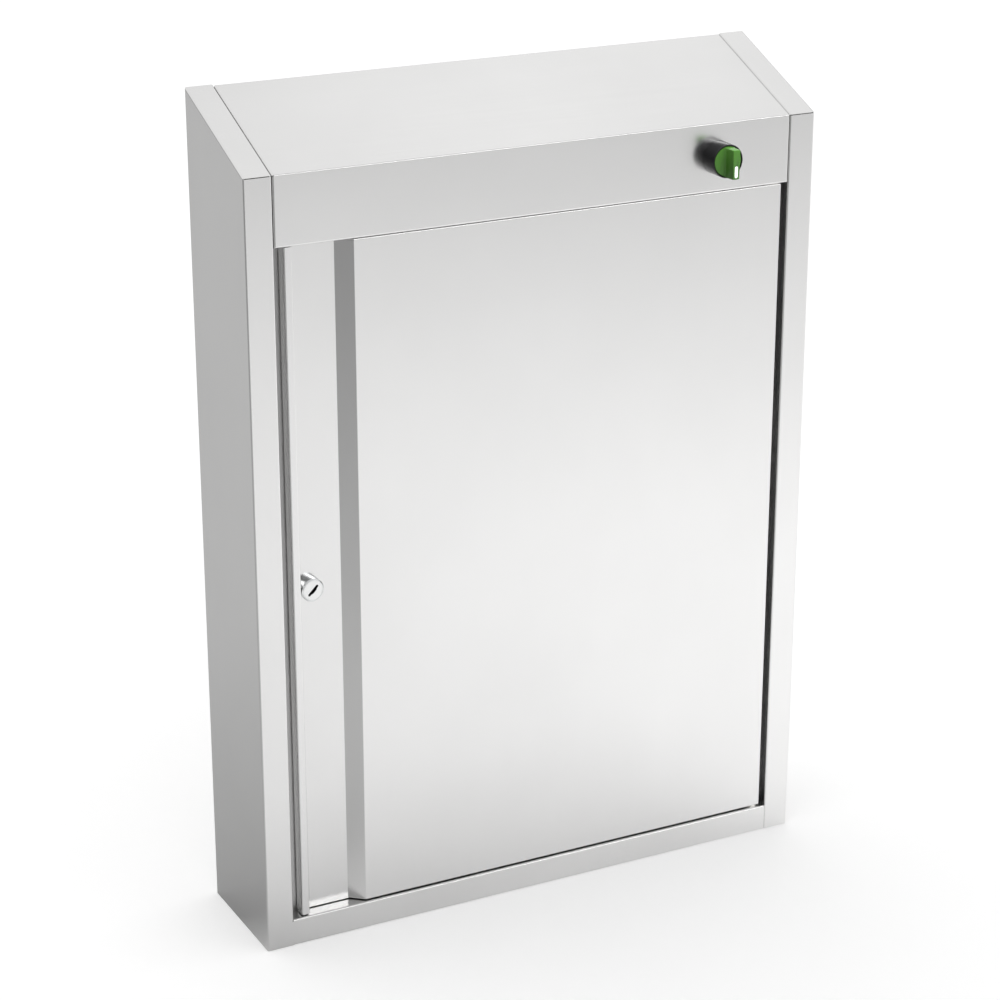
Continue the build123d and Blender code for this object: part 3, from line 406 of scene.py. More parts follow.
class Finishes(Enum):
    """Every finish of the cabinet."""

    SATIN_UPRIGHT = Metal("satin_steel_upright", "satin_stainless", SATIN, 0.24, Grain.UPRIGHT)
    SATIN_ACROSS = Metal("satin_steel_across", "satin_stainless", SATIN, 0.24, Grain.ACROSS)
    MILL_UPRIGHT = Metal("mill_steel_upright", "plain_stainless", MILL, 0.34, Grain.UPRIGHT, stroke=0.07)
    MILL_ACROSS = Metal("mill_steel_across", "plain_stainless", MILL, 0.34, Grain.ACROSS, stroke=0.07)
    WIRE = Metal("drawn_steel_wire", "plain_stainless", MILL, 0.24, Grain.NONE, stroke=0.06)
    ZINC_PLATE = Metal(
        "bright_zinc", "zinc_steel", ZINC, 0.30, Grain.NONE, stroke=0.12, cloud=0.07, tint=(1.02, 1.0, 0.94)
    )
    # Painted reflection: this chrome's base colour is set far darker than real chrome, so that the lock head
    # shows a dark ring as if it mirrored a dim room.
    CHROME = Metal(
        "bright_chrome", "bright_chrome", (0.11, 0.11, 0.111), 0.14, Grain.NONE, stroke=0.02, groove=2e-7
    )
    # Painted shade: a near-black colour for the keyway's walls, standing in for the shade deep inside the
    # slot.
    BORE = Moulded("keyway_painted_shade", "bright_chrome", (0.004, 0.004, 0.004), 0.6, 2e-5, 1200.0, 0.2)
    LOCK_FACE = Metal("lock_face", "bright_chrome", (0.84, 0.842, 0.84), 0.22, Grain.UPRIGHT, stroke=0.03)
    SEAL = Moulded("black_rubber", "black_seal", (0.018, 0.018, 0.019), 0.62, 3e-5, 1500.0, 0.15)
    NYLON = Moulded("white_nylon", "white_nylon", (0.80, 0.79, 0.74), 0.42, depth=0.25)
    BLACK_SHELL = Moulded(
        "black_shell", "black_plastic", (0.006, 0.006, 0.0065), 0.20, 6e-6, 2600.0, 0.1, coat=0.1, shine=0.45
    )
    GREEN_KNOB = Moulded(
        "green_knob", "green_lens", (0.038, 0.118, 0.014), 0.38, 8e-6, 2000.0, 0.05, depth=0.1
    )
    POINTER = Moulded(
        "white_pointer", "white_pointer", (0.26, 0.262, 0.26), 0.30, 5e-6, 2000.0, 0.02, depth=0.1
    )
    GREY_SHELL = Moulded("grey_shell", "grey_plastic", (0.22, 0.23, 0.24), 0.50)
    LED_SHELL = Moulded("led_shell", "led_white", (0.74, 0.74, 0.71), 0.45)
    WHITE_SHELL = Moulded(
        "white_shell", "white_plastic", (0.80, 0.80, 0.77), 0.40, 1e-5, 1800.0, 0.03, depth=0.1
    )
    QUARTZ = Quartz("quartz_glass", "lamp_glass", (0.93, 0.96, 0.98), 0.03)
    CAP_METAL = Metal("lamp_cap_metal", "lamp_cap_metal", (0.78, 0.78, 0.77), 0.32, Grain.NONE, stroke=0.08)
    REFLECTOR = Metal("bright_aluminium", "bright_aluminium", (0.88, 0.885, 0.89), 0.16, Grain.ACROSS)
    BALLAST = Enamel("ballast_enamel", "ballast_paint", (0.62, 0.62, 0.59), 0.38)
    FERRITE = Moulded("fired_ferrite", "ferrite", (0.045, 0.045, 0.05), 0.55, 3e-5, 900.0, 0.2)

    def made(self) -> bpy.types.Material:
        """Returns the material, built on first use."""
        found = bpy.data.materials.get(self.value.name)
        return found or self.value.make()


# ---- Mesh work ----


class Bench:
    """The hand tools that the sub-assemblies share."""

    @staticmethod
    def clear() -> None:
        """Leaves nothing selected."""
        bpy.ops.object.select_all(action="DESELECT")

    @staticmethod
    def take(piece: Piece) -> None:
        """Makes one piece the only selected and the active one."""
        Bench.clear()
        piece.select_set(True)
        bpy.context.view_layer.objects.active = piece

    @staticmethod
    def edit() -> None:
        """Opens the active piece's mesh with all of it selected."""
        bpy.ops.object.mode_set(mode="EDIT")
        bpy.ops.mesh.select_mode(type="VERT")
        bpy.ops.mesh.select_all(action="SELECT")

    @staticmethod
    def leave() -> None:
        """Closes the active piece's mesh."""
        bpy.ops.object.mode_set(mode="OBJECT")

    @staticmethod
    def pick(test: Callable[[bmesh.types.BMFace], bool]) -> None:
        """Selects the faces of the open mesh that pass a test."""
        bpy.ops.mesh.select_mode(type="FACE")
        bpy.ops.mesh.select_all(action="DESELECT")
        mesh = bmesh.from_edit_mesh(bpy.context.object.data)
        for face in [face for face in mesh.faces if test(face)]:
            face.select_set(True)
        bmesh.update_edit_mesh(bpy.context.object.data)

    @staticmethod
    def pick_points(test: Callable[[Vector], bool]) -> None:
        """Selects the points of the open mesh that pass a test."""
        bpy.ops.mesh.select_mode(type="VERT")
        bpy.ops.mesh.select_all(action="DESELECT")
        mesh = bmesh.from_edit_mesh(bpy.context.object.data)
        for point in mesh.verts:
            point.select_set(test(point.co))
        mesh.select_flush_mode()
        bmesh.update_edit_mesh(bpy.context.object.data)

    @staticmethod
    def tidy() -> None:
        """Merges doubles in the open mesh and turns its faces outwards."""
        bpy.ops.mesh.select_mode(type="VERT")
        bpy.ops.mesh.select_all(action="SELECT")
        bpy.ops.mesh.remove_doubles(threshold=1e-6)
        bpy.ops.mesh.normals_make_consistent(inside=False)

    @staticmethod
    def settle(piece: Piece) -> None:
        """Puts a piece's place, turn and size into its mesh."""
        Bench.take(piece)
        bpy.ops.object.transform_apply(location=True, rotation=True, scale=True)

    @staticmethod
    def modifier(piece: Piece, kind: str, **settings: object) -> None:
        """Adds a modifier, sets it and applies it."""
        Bench.take(piece)
        added = piece.modifiers.new(kind.lower(), kind)
        for name, value in settings.items():
            setattr(added, name, value)
        bpy.ops.object.modifier_apply(modifier=added.name)

    @staticmethod
    def combine(piece: Piece, tool: Piece, operation: str) -> None:
        """Cuts, keeps or adds the tool's volume, then throws the tool away."""
        Bench.modifier(piece, "BOOLEAN", operation=operation, solver="EXACT", object=tool)
        bpy.data.objects.remove(tool)

    @staticmethod
    def soften(piece: Piece, width: float, segments: int = 2, angle: float = 40.0) -> None:
        """Rounds the edges that are sharper than the angle."""
        Bench.modifier(
            piece,
            "BEVEL",
            width=width,
            segments=segments,
            limit_method="ANGLE",
            angle_limit=math.radians(angle),
            harden_normals=False,
        )

    @staticmethod
    def smooth(piece: Piece, angle: float = 35.0) -> None:
        """Shades a piece smooth apart from its sharp edges."""
        Bench.take(piece)
        bpy.ops.object.shade_smooth_by_angle(angle=math.radians(angle))

    @staticmethod
    def traced(name: str, points: Sequence[Vector]) -> Piece:
        """Starts a piece as a line through points and leaves its mesh open with all of it selected."""
        Bench.clear()
        bpy.ops.mesh.primitive_plane_add(size=MM, location=(0, 0, 0))
        piece = bpy.context.object
        piece.name = name
        Bench.edit()
        bpy.ops.mesh.merge(type="CENTER")
        bpy.ops.transform.translate(value=points[0])
        for start, end in zip(points, points[1:]):
            bpy.ops.mesh.extrude_region_move(TRANSFORM_OT_translate={"value": end - start})
        bpy.ops.mesh.select_all(action="SELECT")
        return piece

    @staticmethod
    def turned(name: str, outline: Outline, centre: Vector, axis: Vector, steps: int = 72) -> Piece:
        """Spins an outline about an axis, as on a lathe.

        Args:
            name: The piece's name.
            outline: Points as (radius, place along the axis), in millimetres.
            centre: The point of the axis that those places start from.
            axis: The axis, of length 1.
            steps: How many flats go round.

        Returns:
            The turned piece.
        """
        across = axis.orthogonal().normalized()
        points = [centre + across * (radius * MM) + axis * (along * MM) for radius, along in outline]
        piece = Bench.traced(name, points)
        bpy.ops.mesh.spin(steps=steps, angle=math.tau, center=centre, axis=axis)
        Bench.tidy()
        Bench.leave()
        Bench.smooth(piece)
        return piece

    @staticmethod
    def drawn(name: str, points: Sequence[Vector], along: Vector) -> Piece:
        """Fills the section that points go round and pulls it along a vector."""
        piece = Bench.traced(name, points)
        bpy.ops.mesh.edge_face_add()
        bpy.ops.mesh.extrude_region_move(TRANSFORM_OT_translate={"value": along})
        Bench.tidy()
        Bench.leave()
        return piece

    @staticmethod
    def block(name: str, low: Vector, high: Vector) -> Piece:
        """Adds a box between two corners, with its place in its mesh."""
        Bench.clear()
        bpy.ops.mesh.primitive_cube_add(size=1.0, location=(low + high) / 2)
        piece = bpy.context.object
        piece.name = name
        piece.scale = high - low
        Bench.settle(piece)
        return piece

    @staticmethod
    def rod(name: str, start: Vector, end: Vector, radius: float, sides: int = 48) -> Piece:
        """Adds a round or many-sided bar between two points."""
        run = end - start
        Bench.clear()
        bpy.ops.mesh.primitive_cylinder_add(
            vertices=sides, radius=radius, depth=run.length, location=(start + end) / 2
        )
        piece = bpy.context.object
        piece.name = name
        piece.rotation_mode = "QUATERNION"
        piece.rotation_quaternion = run.to_track_quat("Z", "Y")
        Bench.settle(piece)
        return piece

    @staticmethod
    def capsule(
        name: str, centre: Vector, length: float, width: float, depth: float, tilt: float = 0.0
    ) -> Piece:
        """Adds a round-ended key that faces the front.

        Args:
            name: The piece's name.
            centre: The middle of its front face.
            length: Its length over both ends.
            width: Its width.
            depth: How far it goes back.
            tilt: Its turn from upright, clockwise from the front.

        Returns:
            The key.
        """
        piece = Bench.rod(name, centre, centre + IN * depth, width / 2)
        Bench.edit()
        half = (length - width) / 2
        for hand in (1, -1):
            Bench.pick_points(lambda point: (point.z - centre.z) * hand > 1e-7)
            bpy.ops.transform.translate(value=UP * (half * hand))
        if tilt:
            bpy.ops.mesh.select_all(action="SELECT")
            bpy.ops.transform.rotate(value=tilt, orient_axis="Y", center_override=centre)
        Bench.tidy()
        Bench.leave()
        return piece

    @staticmethod
    def copied(piece: Piece, name: str, move: Matrix) -> Piece:
        """Copies a piece with its own mesh, moved by a matrix that goes into the mesh."""
        copy = piece.copy()
        copy.data = piece.data.copy()
        copy.name = name
        bpy.context.scene.collection.objects.link(copy)
        copy.data.transform(move)
        if move.determinant() < 0:
            copy.data.flip_normals()
        return copy

    @staticmethod
    def joined(pieces: Sequence[Piece]) -> Piece:
        """Makes one piece of several and returns it under the first one's name."""
        Bench.take(pieces[0])
        for piece in pieces[1:]:
            piece.select_set(True)
        bpy.ops.object.join()
        return pieces[0]


def threads(radius: float, start: float, end: float) -> list[tuple[float, float]]:
    """Returns the ringed line of a thread between two places along its axis, in millimetres."""
    line: list[tuple[float, float]] = []
    while start + THREAD_PITCH < end:
        line += [(radius, start), (radius - THREAD_DEPTH, start + THREAD_PITCH / 2)]
        start += THREAD_PITCH
    return line


def place(piece: Piece, body: Body, finish: Finishes, *nodes: str) -> Piece:
    """Dresses a new piece and hands it over.

    Args:
        piece: The piece, in its place.
        body: The body it rides on.
        finish: Its finish.
        nodes: The model's nodes that it stands for.

    Returns:
        The same piece.
    """
    piece.data.materials.clear()
    piece.data.materials.append(finish.made())
    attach(piece, body.value)
    if nodes:
        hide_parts(*nodes)
    LOG.info("built %s on %s, %d faces", piece.name, body.value, len(piece.data.polygons))
    return piece


@dataclass
class SubAssembly:
    frame: dict

    def dress(self, finish: Finishes, *nodes: str) -> None:
        """Gives nodes of the model a finish."""
        for name in nodes:
            node = self.frame["nodes"][name]
            if not node.material_slots:
                node.data.materials.append(finish.made())
            for slot in node.material_slots:
                slot.material = finish.made()
            LOG.info("dressed %s in %s", name, finish.value.name)

    def middle(self, node: str) -> Vector:
        """Returns the middle of a node's box."""
        low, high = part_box(node)
        return (low + high) / 2


# ---- Sub-assemblies ----


@dataclass
class Casing(SubAssembly):
    """Folded sheet metal of the cabinet and its rivets and seals."""

    seal_ribs: int = 5
    grommet_bore: float = 4.0
    grommet_neck: float = 8.0

    def build(self) -> None:
        """Dresses the sheets and builds the rubber parts."""
        self.dress(Finishes.SATIN_UPRIGHT, "left_side_panel", "right_side_panel")
        self.dress(Finishes.SATIN_ACROSS, "roof_and_fascia", "base_panel")
        self.dress(Finishes.MILL_UPRIGHT, "back_panel", "latch_stop", "hinge_stop", "lock_keeper")
        self.dress(Finishes.MILL_ACROSS, "header_partition")
        self.dress(Finishes.ZINC_PLATE, "roof_rivets")
        self.hinge_seal()
        self.bumpers()
        self.grommet()

    def hinge_seal(self) -> None:
        """Builds the ribbed light trap behind the door's hinge edge."""
        low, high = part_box("hinge_seal")
        pitch = (high.x - low.x) / self.seal_ribs
        root = low.y + (high.y - low.y) * 0.55
        shoulder = low.y + 0.1 * MM
        rise = ((0.02, root), (0.30, shoulder), (0.42, low.y))
        rib_line = (*rise, (0.58, low.y), (0.70, shoulder), (0.98, root))
        points = [Vector((low.x, high.y, low.z))]
        for rib in range(self.seal_ribs):
            start = low.x + rib * pitch
            points += [Vector((start + share * pitch, y, low.z)) for share, y in rib_line]
        points.append(Vector((high.x, high.y, low.z)))
        piece = Bench.drawn("hinge_light_trap", points, UP * (high.z - low.z))
        Bench.smooth(piece, 50.0)
        place(piece, Body.CABINET, Finishes.SEAL, "hinge_seal")

    def bumpers(self) -> None:
        """Builds the two domed bumpers that the door's lip closes on."""
        low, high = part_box("door_bumpers")
        radius = (high.x - low.x) / 2 / MM
        height = (high.y - low.y) / MM
        outline = [(0, 0), (radius, 0), (radius, height * 0.35), (radius * 0.93, height * 0.62)]
        outline += [(radius * 0.75, height * 0.84), (radius * 0.45, height * 0.96), (0, height)]
        seat = Vector(((low.x + high.x) / 2, high.y, low.z + radius * MM))
        lower = Bench.turned("door_bumper_lower", outline, seat, OUT, 40)
        rise = Matrix.Translation(UP * (high.z - low.z - 2 * radius * MM))
        upper = Bench.copied(lower, "door_bumper_upper", rise)
        for piece in (lower, upper):
            place(piece, Body.CABINET, Finishes.SEAL, "door_bumpers")

    def grommet(self) -> None:
        """Builds the rounded cable grommet in the back panel."""
        low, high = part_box("cable_grommet")
        centre = self.middle("cable_grommet")
        inner = low.y - centre.y
        length = (high.y - low.y) / MM
        flange = (high.x - low.x) / 2 / MM
        bore, neck = self.grommet_bore, self.grommet_neck
        outline = [(bore, 0.7), (bore + 0.5, 0.15), (bore + 1.2, 0.0), (flange - 1.0, 0.3)]
        outline += [(flange - 0.2, 0.8), (flange, 1.5), (flange - 0.3, 2.4), (neck, 2.5), (neck, 3.7)]
        outline += [(flange - 0.2, 3.75), (flange, 4.1), (flange - 0.5, length - 0.1)]
        outline += [(bore + 1.0, length), (bore + 0.3, length - 0.2), (bore, length - 0.6), (bore, 0.7)]
        piece = Bench.turned("cable_grommet_rubber", outline, centre + IN * inner, IN, 56)
        place(piece, Body.CABINET, Finishes.SEAL, "cable_grommet")


@dataclass
class Door(SubAssembly):
    """The door's sheets, bearings and magnet."""

    def build(self) -> None:
        """Dresses the door."""
        self.dress(Finishes.SATIN_UPRIGHT, "door_skin")
        self.dress(Finishes.MILL_UPRIGHT, "door_liner", "hinge_blocks")
        self.dress(Finishes.NYLON, "bottom_bush", "top_bush")
        self.dress(Finishes.ZINC_PLATE, "bottom_pivot_pin", "top_pivot_pin")
        self.dress(Finishes.WHITE_SHELL, "door_magnet", "reed_switch")


@dataclass
class Fasteners(SubAssembly):
    """Screws and nuts, each kind made once and copied to its places."""

    cross_width: float = 0.75
    cross_depth: float = 1.3
    head_radius: float = 3.9
    head_height: float = 2.2
    thread_pitch: float = 0.7

    def pan_head(
        self, name: str, seat: Vector, axis: Vector, radius: float, height: float, shank: float
    ) -> Piece:
        """Builds a cross-recessed pan head screw.

        Args:
            name: The screw's name.
            seat: The middle of the face that the head seats on.
            axis: The way the head points.
            radius: The head's radius, in millimetres.
            height: The head's height, in millimetres.
            shank: The shank's length, in millimetres.

        Returns:
            The screw.
        """
        stem = radius * 0.5
        outline: list[tuple[float, float]] = [(0, -shank), (stem * 0.8, -shank), (stem, -shank + 0.4)]
        pitch = self.thread_pitch
        along = -shank + 0.4
        while along + pitch < -0.2:
            outline += [(stem * 0.84, along + pitch / 2), (stem, along + pitch)]
            along += pitch
        outline += [(stem, 0), (radius * 0.97, 0), (radius, height * 0.12), (radius, height * 0.4)]
        outline += [(radius * 0.93, height * 0.66), (radius * 0.76, height * 0.86)]
        outline += [(radius * 0.5, height * 0.97), (0, height)]
        screw = Bench.turned(name, outline, seat, axis, 40)
        across = axis.orthogonal().normalized()
        other = axis.cross(across)
        top = seat + axis * (height * MM + 0.2 * MM)
        for first, second in ((across, other), (other, across)):
            reach = first * (radius * 0.55 * MM) + second * (self.cross_width / 2 * MM)
            low = top - axis * ((self.cross_depth + 0.2) * MM) - reach
            high = top + reach
            corner_low = Vector(tuple(min(a, b) for a, b in zip(low, high)))
            corner_high = Vector(tuple(max(a, b) for a, b in zip(low, high)))
            Bench.combine(screw, Bench.block("recess_tool", corner_low, corner_high), "DIFFERENCE")
        Bench.smooth(screw)
        return screw

    def nut(self, name: str, seat: Vector, axis: Vector, flats: float, height: float, bore: float) -> Piece:
        """Builds a chamfered hexagon nut with a round bore; sizes are in millimetres."""
        corner = flats / 2 / math.cos(math.radians(30))
        nut = Bench.rod(name, seat, seat + axis * (height * MM), corner * MM, 6)
        edge = corner * 0.94
        drop = corner * 0.07
        outline = [(bore, -0.01), (edge, -0.01), (corner + 0.01, drop), (corner + 0.01, height - drop)]
        outline += [(edge, height + 0.01), (bore + 0.5, height + 0.01), (bore, height - 0.5), (bore, -0.01)]
        Bench.combine(nut, Bench.turned("nut_tool", outline, seat, axis, 72), "INTERSECT")
        Bench.smooth(nut, 30.0)
        return nut

    def build(self) -> None:
        """Builds the screws of the cabinet."""
        self.row("knife_rail_screws", 2, OUT, 12.0)
        self.row("partition_screws", 3, UP, 2.4)
        self.row("ballast_screws", 2, UP, 1.5)

    def row(self, node: str, count: int, axis: Vector, shank: float) -> None:
        """Builds one screw for each solid of a node that lies in a row along X.

        Args:
            node: The node, whose name ends in s.
            count: How many solids it has.
            axis: The way the heads point, OUT or UP.
            shank: The shank's length, in millimetres.
        """
        low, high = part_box(node)
        spots = self.spots(node, count)
        if axis == OUT:
            y = low.y + self.head_height * MM
            seats = [Vector((x, y, (low.z + high.z) / 2)) for x in spots]
        else:
            z = high.z - self.head_height * MM
            seats = [Vector((x, (low.y + high.y) / 2, z)) for x in spots]
        first = self.pan_head(f"{node[:-1]}_1", seats[0], axis, self.head_radius, self.head_height, shank)
        copies = [
            Bench.copied(first, f"{node[:-1]}_{number}", Matrix.Translation(seat - seats[0]))
            for number, seat in enumerate(seats[1:], 2)
        ]
        for piece in (first, *copies):
            place(piece, Body.CABINET, Finishes.ZINC_PLATE, node)

    def spots(self, node: str, count: int) -> list[float]:
        """Returns the X places of a node's solids, read from where its points gather."""
        xs = sorted(point.co.x for point in self.frame["nodes"][node].data.vertices)
        gaps = sorted(((b - a, i) for i, (a, b) in enumerate(zip(xs, xs[1:]))), reverse=True)[: count - 1]
        cuts = [0, *sorted(i + 1 for _, i in gaps), len(xs)]
        groups = [xs[a:b] for a, b in zip(cuts, cuts[1:])]
        return [(group[0] + group[-1]) / 2 for group in groups]


@dataclass
class CamLock(SubAssembly):
    """Cam lock in the grip channel: head, plug with its keyway, nut, cam and screw."""

    head_radius: float = 9.6
    barrel_radius: float = 8.0
    cap_radius: float = 8.2
    plug_radius: float = 6.0
    key_length: float = 11.6
    key_width: float = 2.2
    key_depth: float = 6.0
    key_tilt: float = 45.0
    ward_width: float = 2.5
    ward_aside: float = 0.55
    channel_depth: float = 10.1
    tang_width: float = 6.0
    nut_flats: float = 20.0

    def build(self) -> None:
        """Builds every part of the lock."""
        low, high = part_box("lock_body")
        self.centre = Vector(((low.x + high.x) / 2, low.y, (low.z + high.z) / 2))
        self.head = (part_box("door_skin")[0].y - low.y) / MM + self.channel_depth
        self.end = (high.y - low.y) / MM
        self.body()
        self.plug()
        self.fittings()

    def body(self) -> None:
        """Builds the chromed head with its threaded barrel, in chrome whose darkened base colour paints its
        dark reflection.
        """
        head, barrel, cap, plug = self.head_radius, self.barrel_radius, self.cap_radius, self.plug_radius
        outline = [(plug + 0.05, 1.45), (cap + 0.05, 1.45), (cap + 0.05, 0.12), (cap + 0.15, 0.0)]
        outline += [(cap + 0.45, 0.0), (head - 0.35, 0.62), (head - 0.08, 0.95), (head, 1.4)]
        outline += [(head, self.head - 0.25), (head - 0.2, self.head), (barrel, self.head)]
        outline += threads(barrel, self.head + 0.6, self.end - 0.4)
        outline += [(barrel, self.end - 0.6), (barrel - 0.6, self.end), (plug + 0.05, self.end)]
        outline += [(plug + 0.05, 1.45)]
        piece = Bench.turned("lock_housing", outline, self.centre, IN, 96)
        place(piece, Body.DOOR, Finishes.CHROME, "lock_body")

    def plug(self) -> None:
        """Builds the plug, cuts its keyway and adds its square tang."""
        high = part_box("lock_plug")[1]
        tang_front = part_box("lock_cam")[0].y
        front = self.centre.y
        barrel = (tang_front - front) / MM
        cap, plug = self.cap_radius, self.plug_radius
        outline = [(0, 0), (cap - 0.9, 0), (cap - 0.86, 0.05), (cap - 0.74, 0.05), (cap - 0.70, 0)]
        outline += [(cap - 0.12, 0), (cap, 0.12), (cap, 1.4), (plug, 1.4), (plug, barrel), (0, barrel)]
        piece = Bench.turned("lock_cylinder_plug", outline, self.centre, IN, 96)
        half = self.tang_width / 2 * MM
        centre = self.centre
        low = Vector((centre.x - half, tang_front - 0.5 * MM, centre.z - half))
        tang = Bench.block("tang", low, Vector((centre.x + half, high.y, centre.z + half)))
        Bench.combine(piece, tang, "UNION")
        tilt = math.radians(-self.key_tilt)
        start = centre - IN * MM
        depth = (self.key_depth + 1.0) * MM
        slot = Bench.capsule("keyway", start, self.key_length * MM, self.key_width * MM, depth, tilt)
        Bench.combine(piece, slot, "DIFFERENCE")
        turn = math.radians(self.key_tilt)
        aside = Vector((math.cos(turn), 0, -math.sin(turn))) * (self.ward_aside * MM)
        ward_length = self.key_length * 0.55 * MM
        ward = Bench.capsule("ward", start + aside, ward_length, self.ward_width * MM, depth, tilt)
        Bench.combine(piece, ward, "DIFFERENCE")
        Bench.smooth(piece, 20.0)
        place(piece, Body.LOCK, Finishes.LOCK_FACE, "lock_plug")
        self.paint_keyway_shade(piece)

    def paint_keyway_shade(self, piece: Piece) -> None:
        """Paints the walls of the keyway near black, as painted shade for the dark inside of the slot."""
        piece.data.materials.append(Finishes.BORE.made())
        reach = (self.key_length / 2 + 0.2) * MM
        front, back = self.centre.y + 0.15 * MM, self.centre.y + (self.key_depth + 0.2) * MM
        Bench.take(piece)
        Bench.edit()

        def is_wall(face: bmesh.types.BMFace) -> bool:
            """Tells whether a face lies in the keyway."""
            middle = face.calc_center_median()
            across = Vector((middle.x - self.centre.x, 0, middle.z - self.centre.z)).length
            spare = 0.1 * MM
            beside = abs(across - self.plug_radius * MM) < spare or across > self.cap_radius * MM - spare
            return front < middle.y < back and across < reach and not (beside and abs(face.normal.y) < 0.2)

        Bench.pick(is_wall)
        piece.active_material_index = 1
        bpy.ops.object.material_slot_assign()
        Bench.leave()

    def fittings(self) -> None:
        """Builds the nut and the cam's screw, and dresses the cam."""
        low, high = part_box("lock_nut")
        seat = Vector((self.centre.x, low.y, self.centre.z))
        thick = (high.y - low.y) / MM
        fasteners = Fasteners(self.frame)
        nut = fasteners.nut("lock_hexagon_nut", seat, IN, self.nut_flats, thick, self.barrel_radius)
        place(nut, Body.DOOR, Finishes.ZINC_PLATE, "lock_nut")
        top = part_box("cam_screw")[1].y
        seat = Vector((self.centre.x, top - 2.4 * MM, self.centre.z))
        screw = fasteners.pan_head("cam_pan_screw", seat, IN, 4.0, 2.4, 6.0)
        place(screw, Body.LOCK, Finishes.ZINC_PLATE, "cam_screw")
        self.dress(Finishes.ZINC_PLATE, "lock_cam")


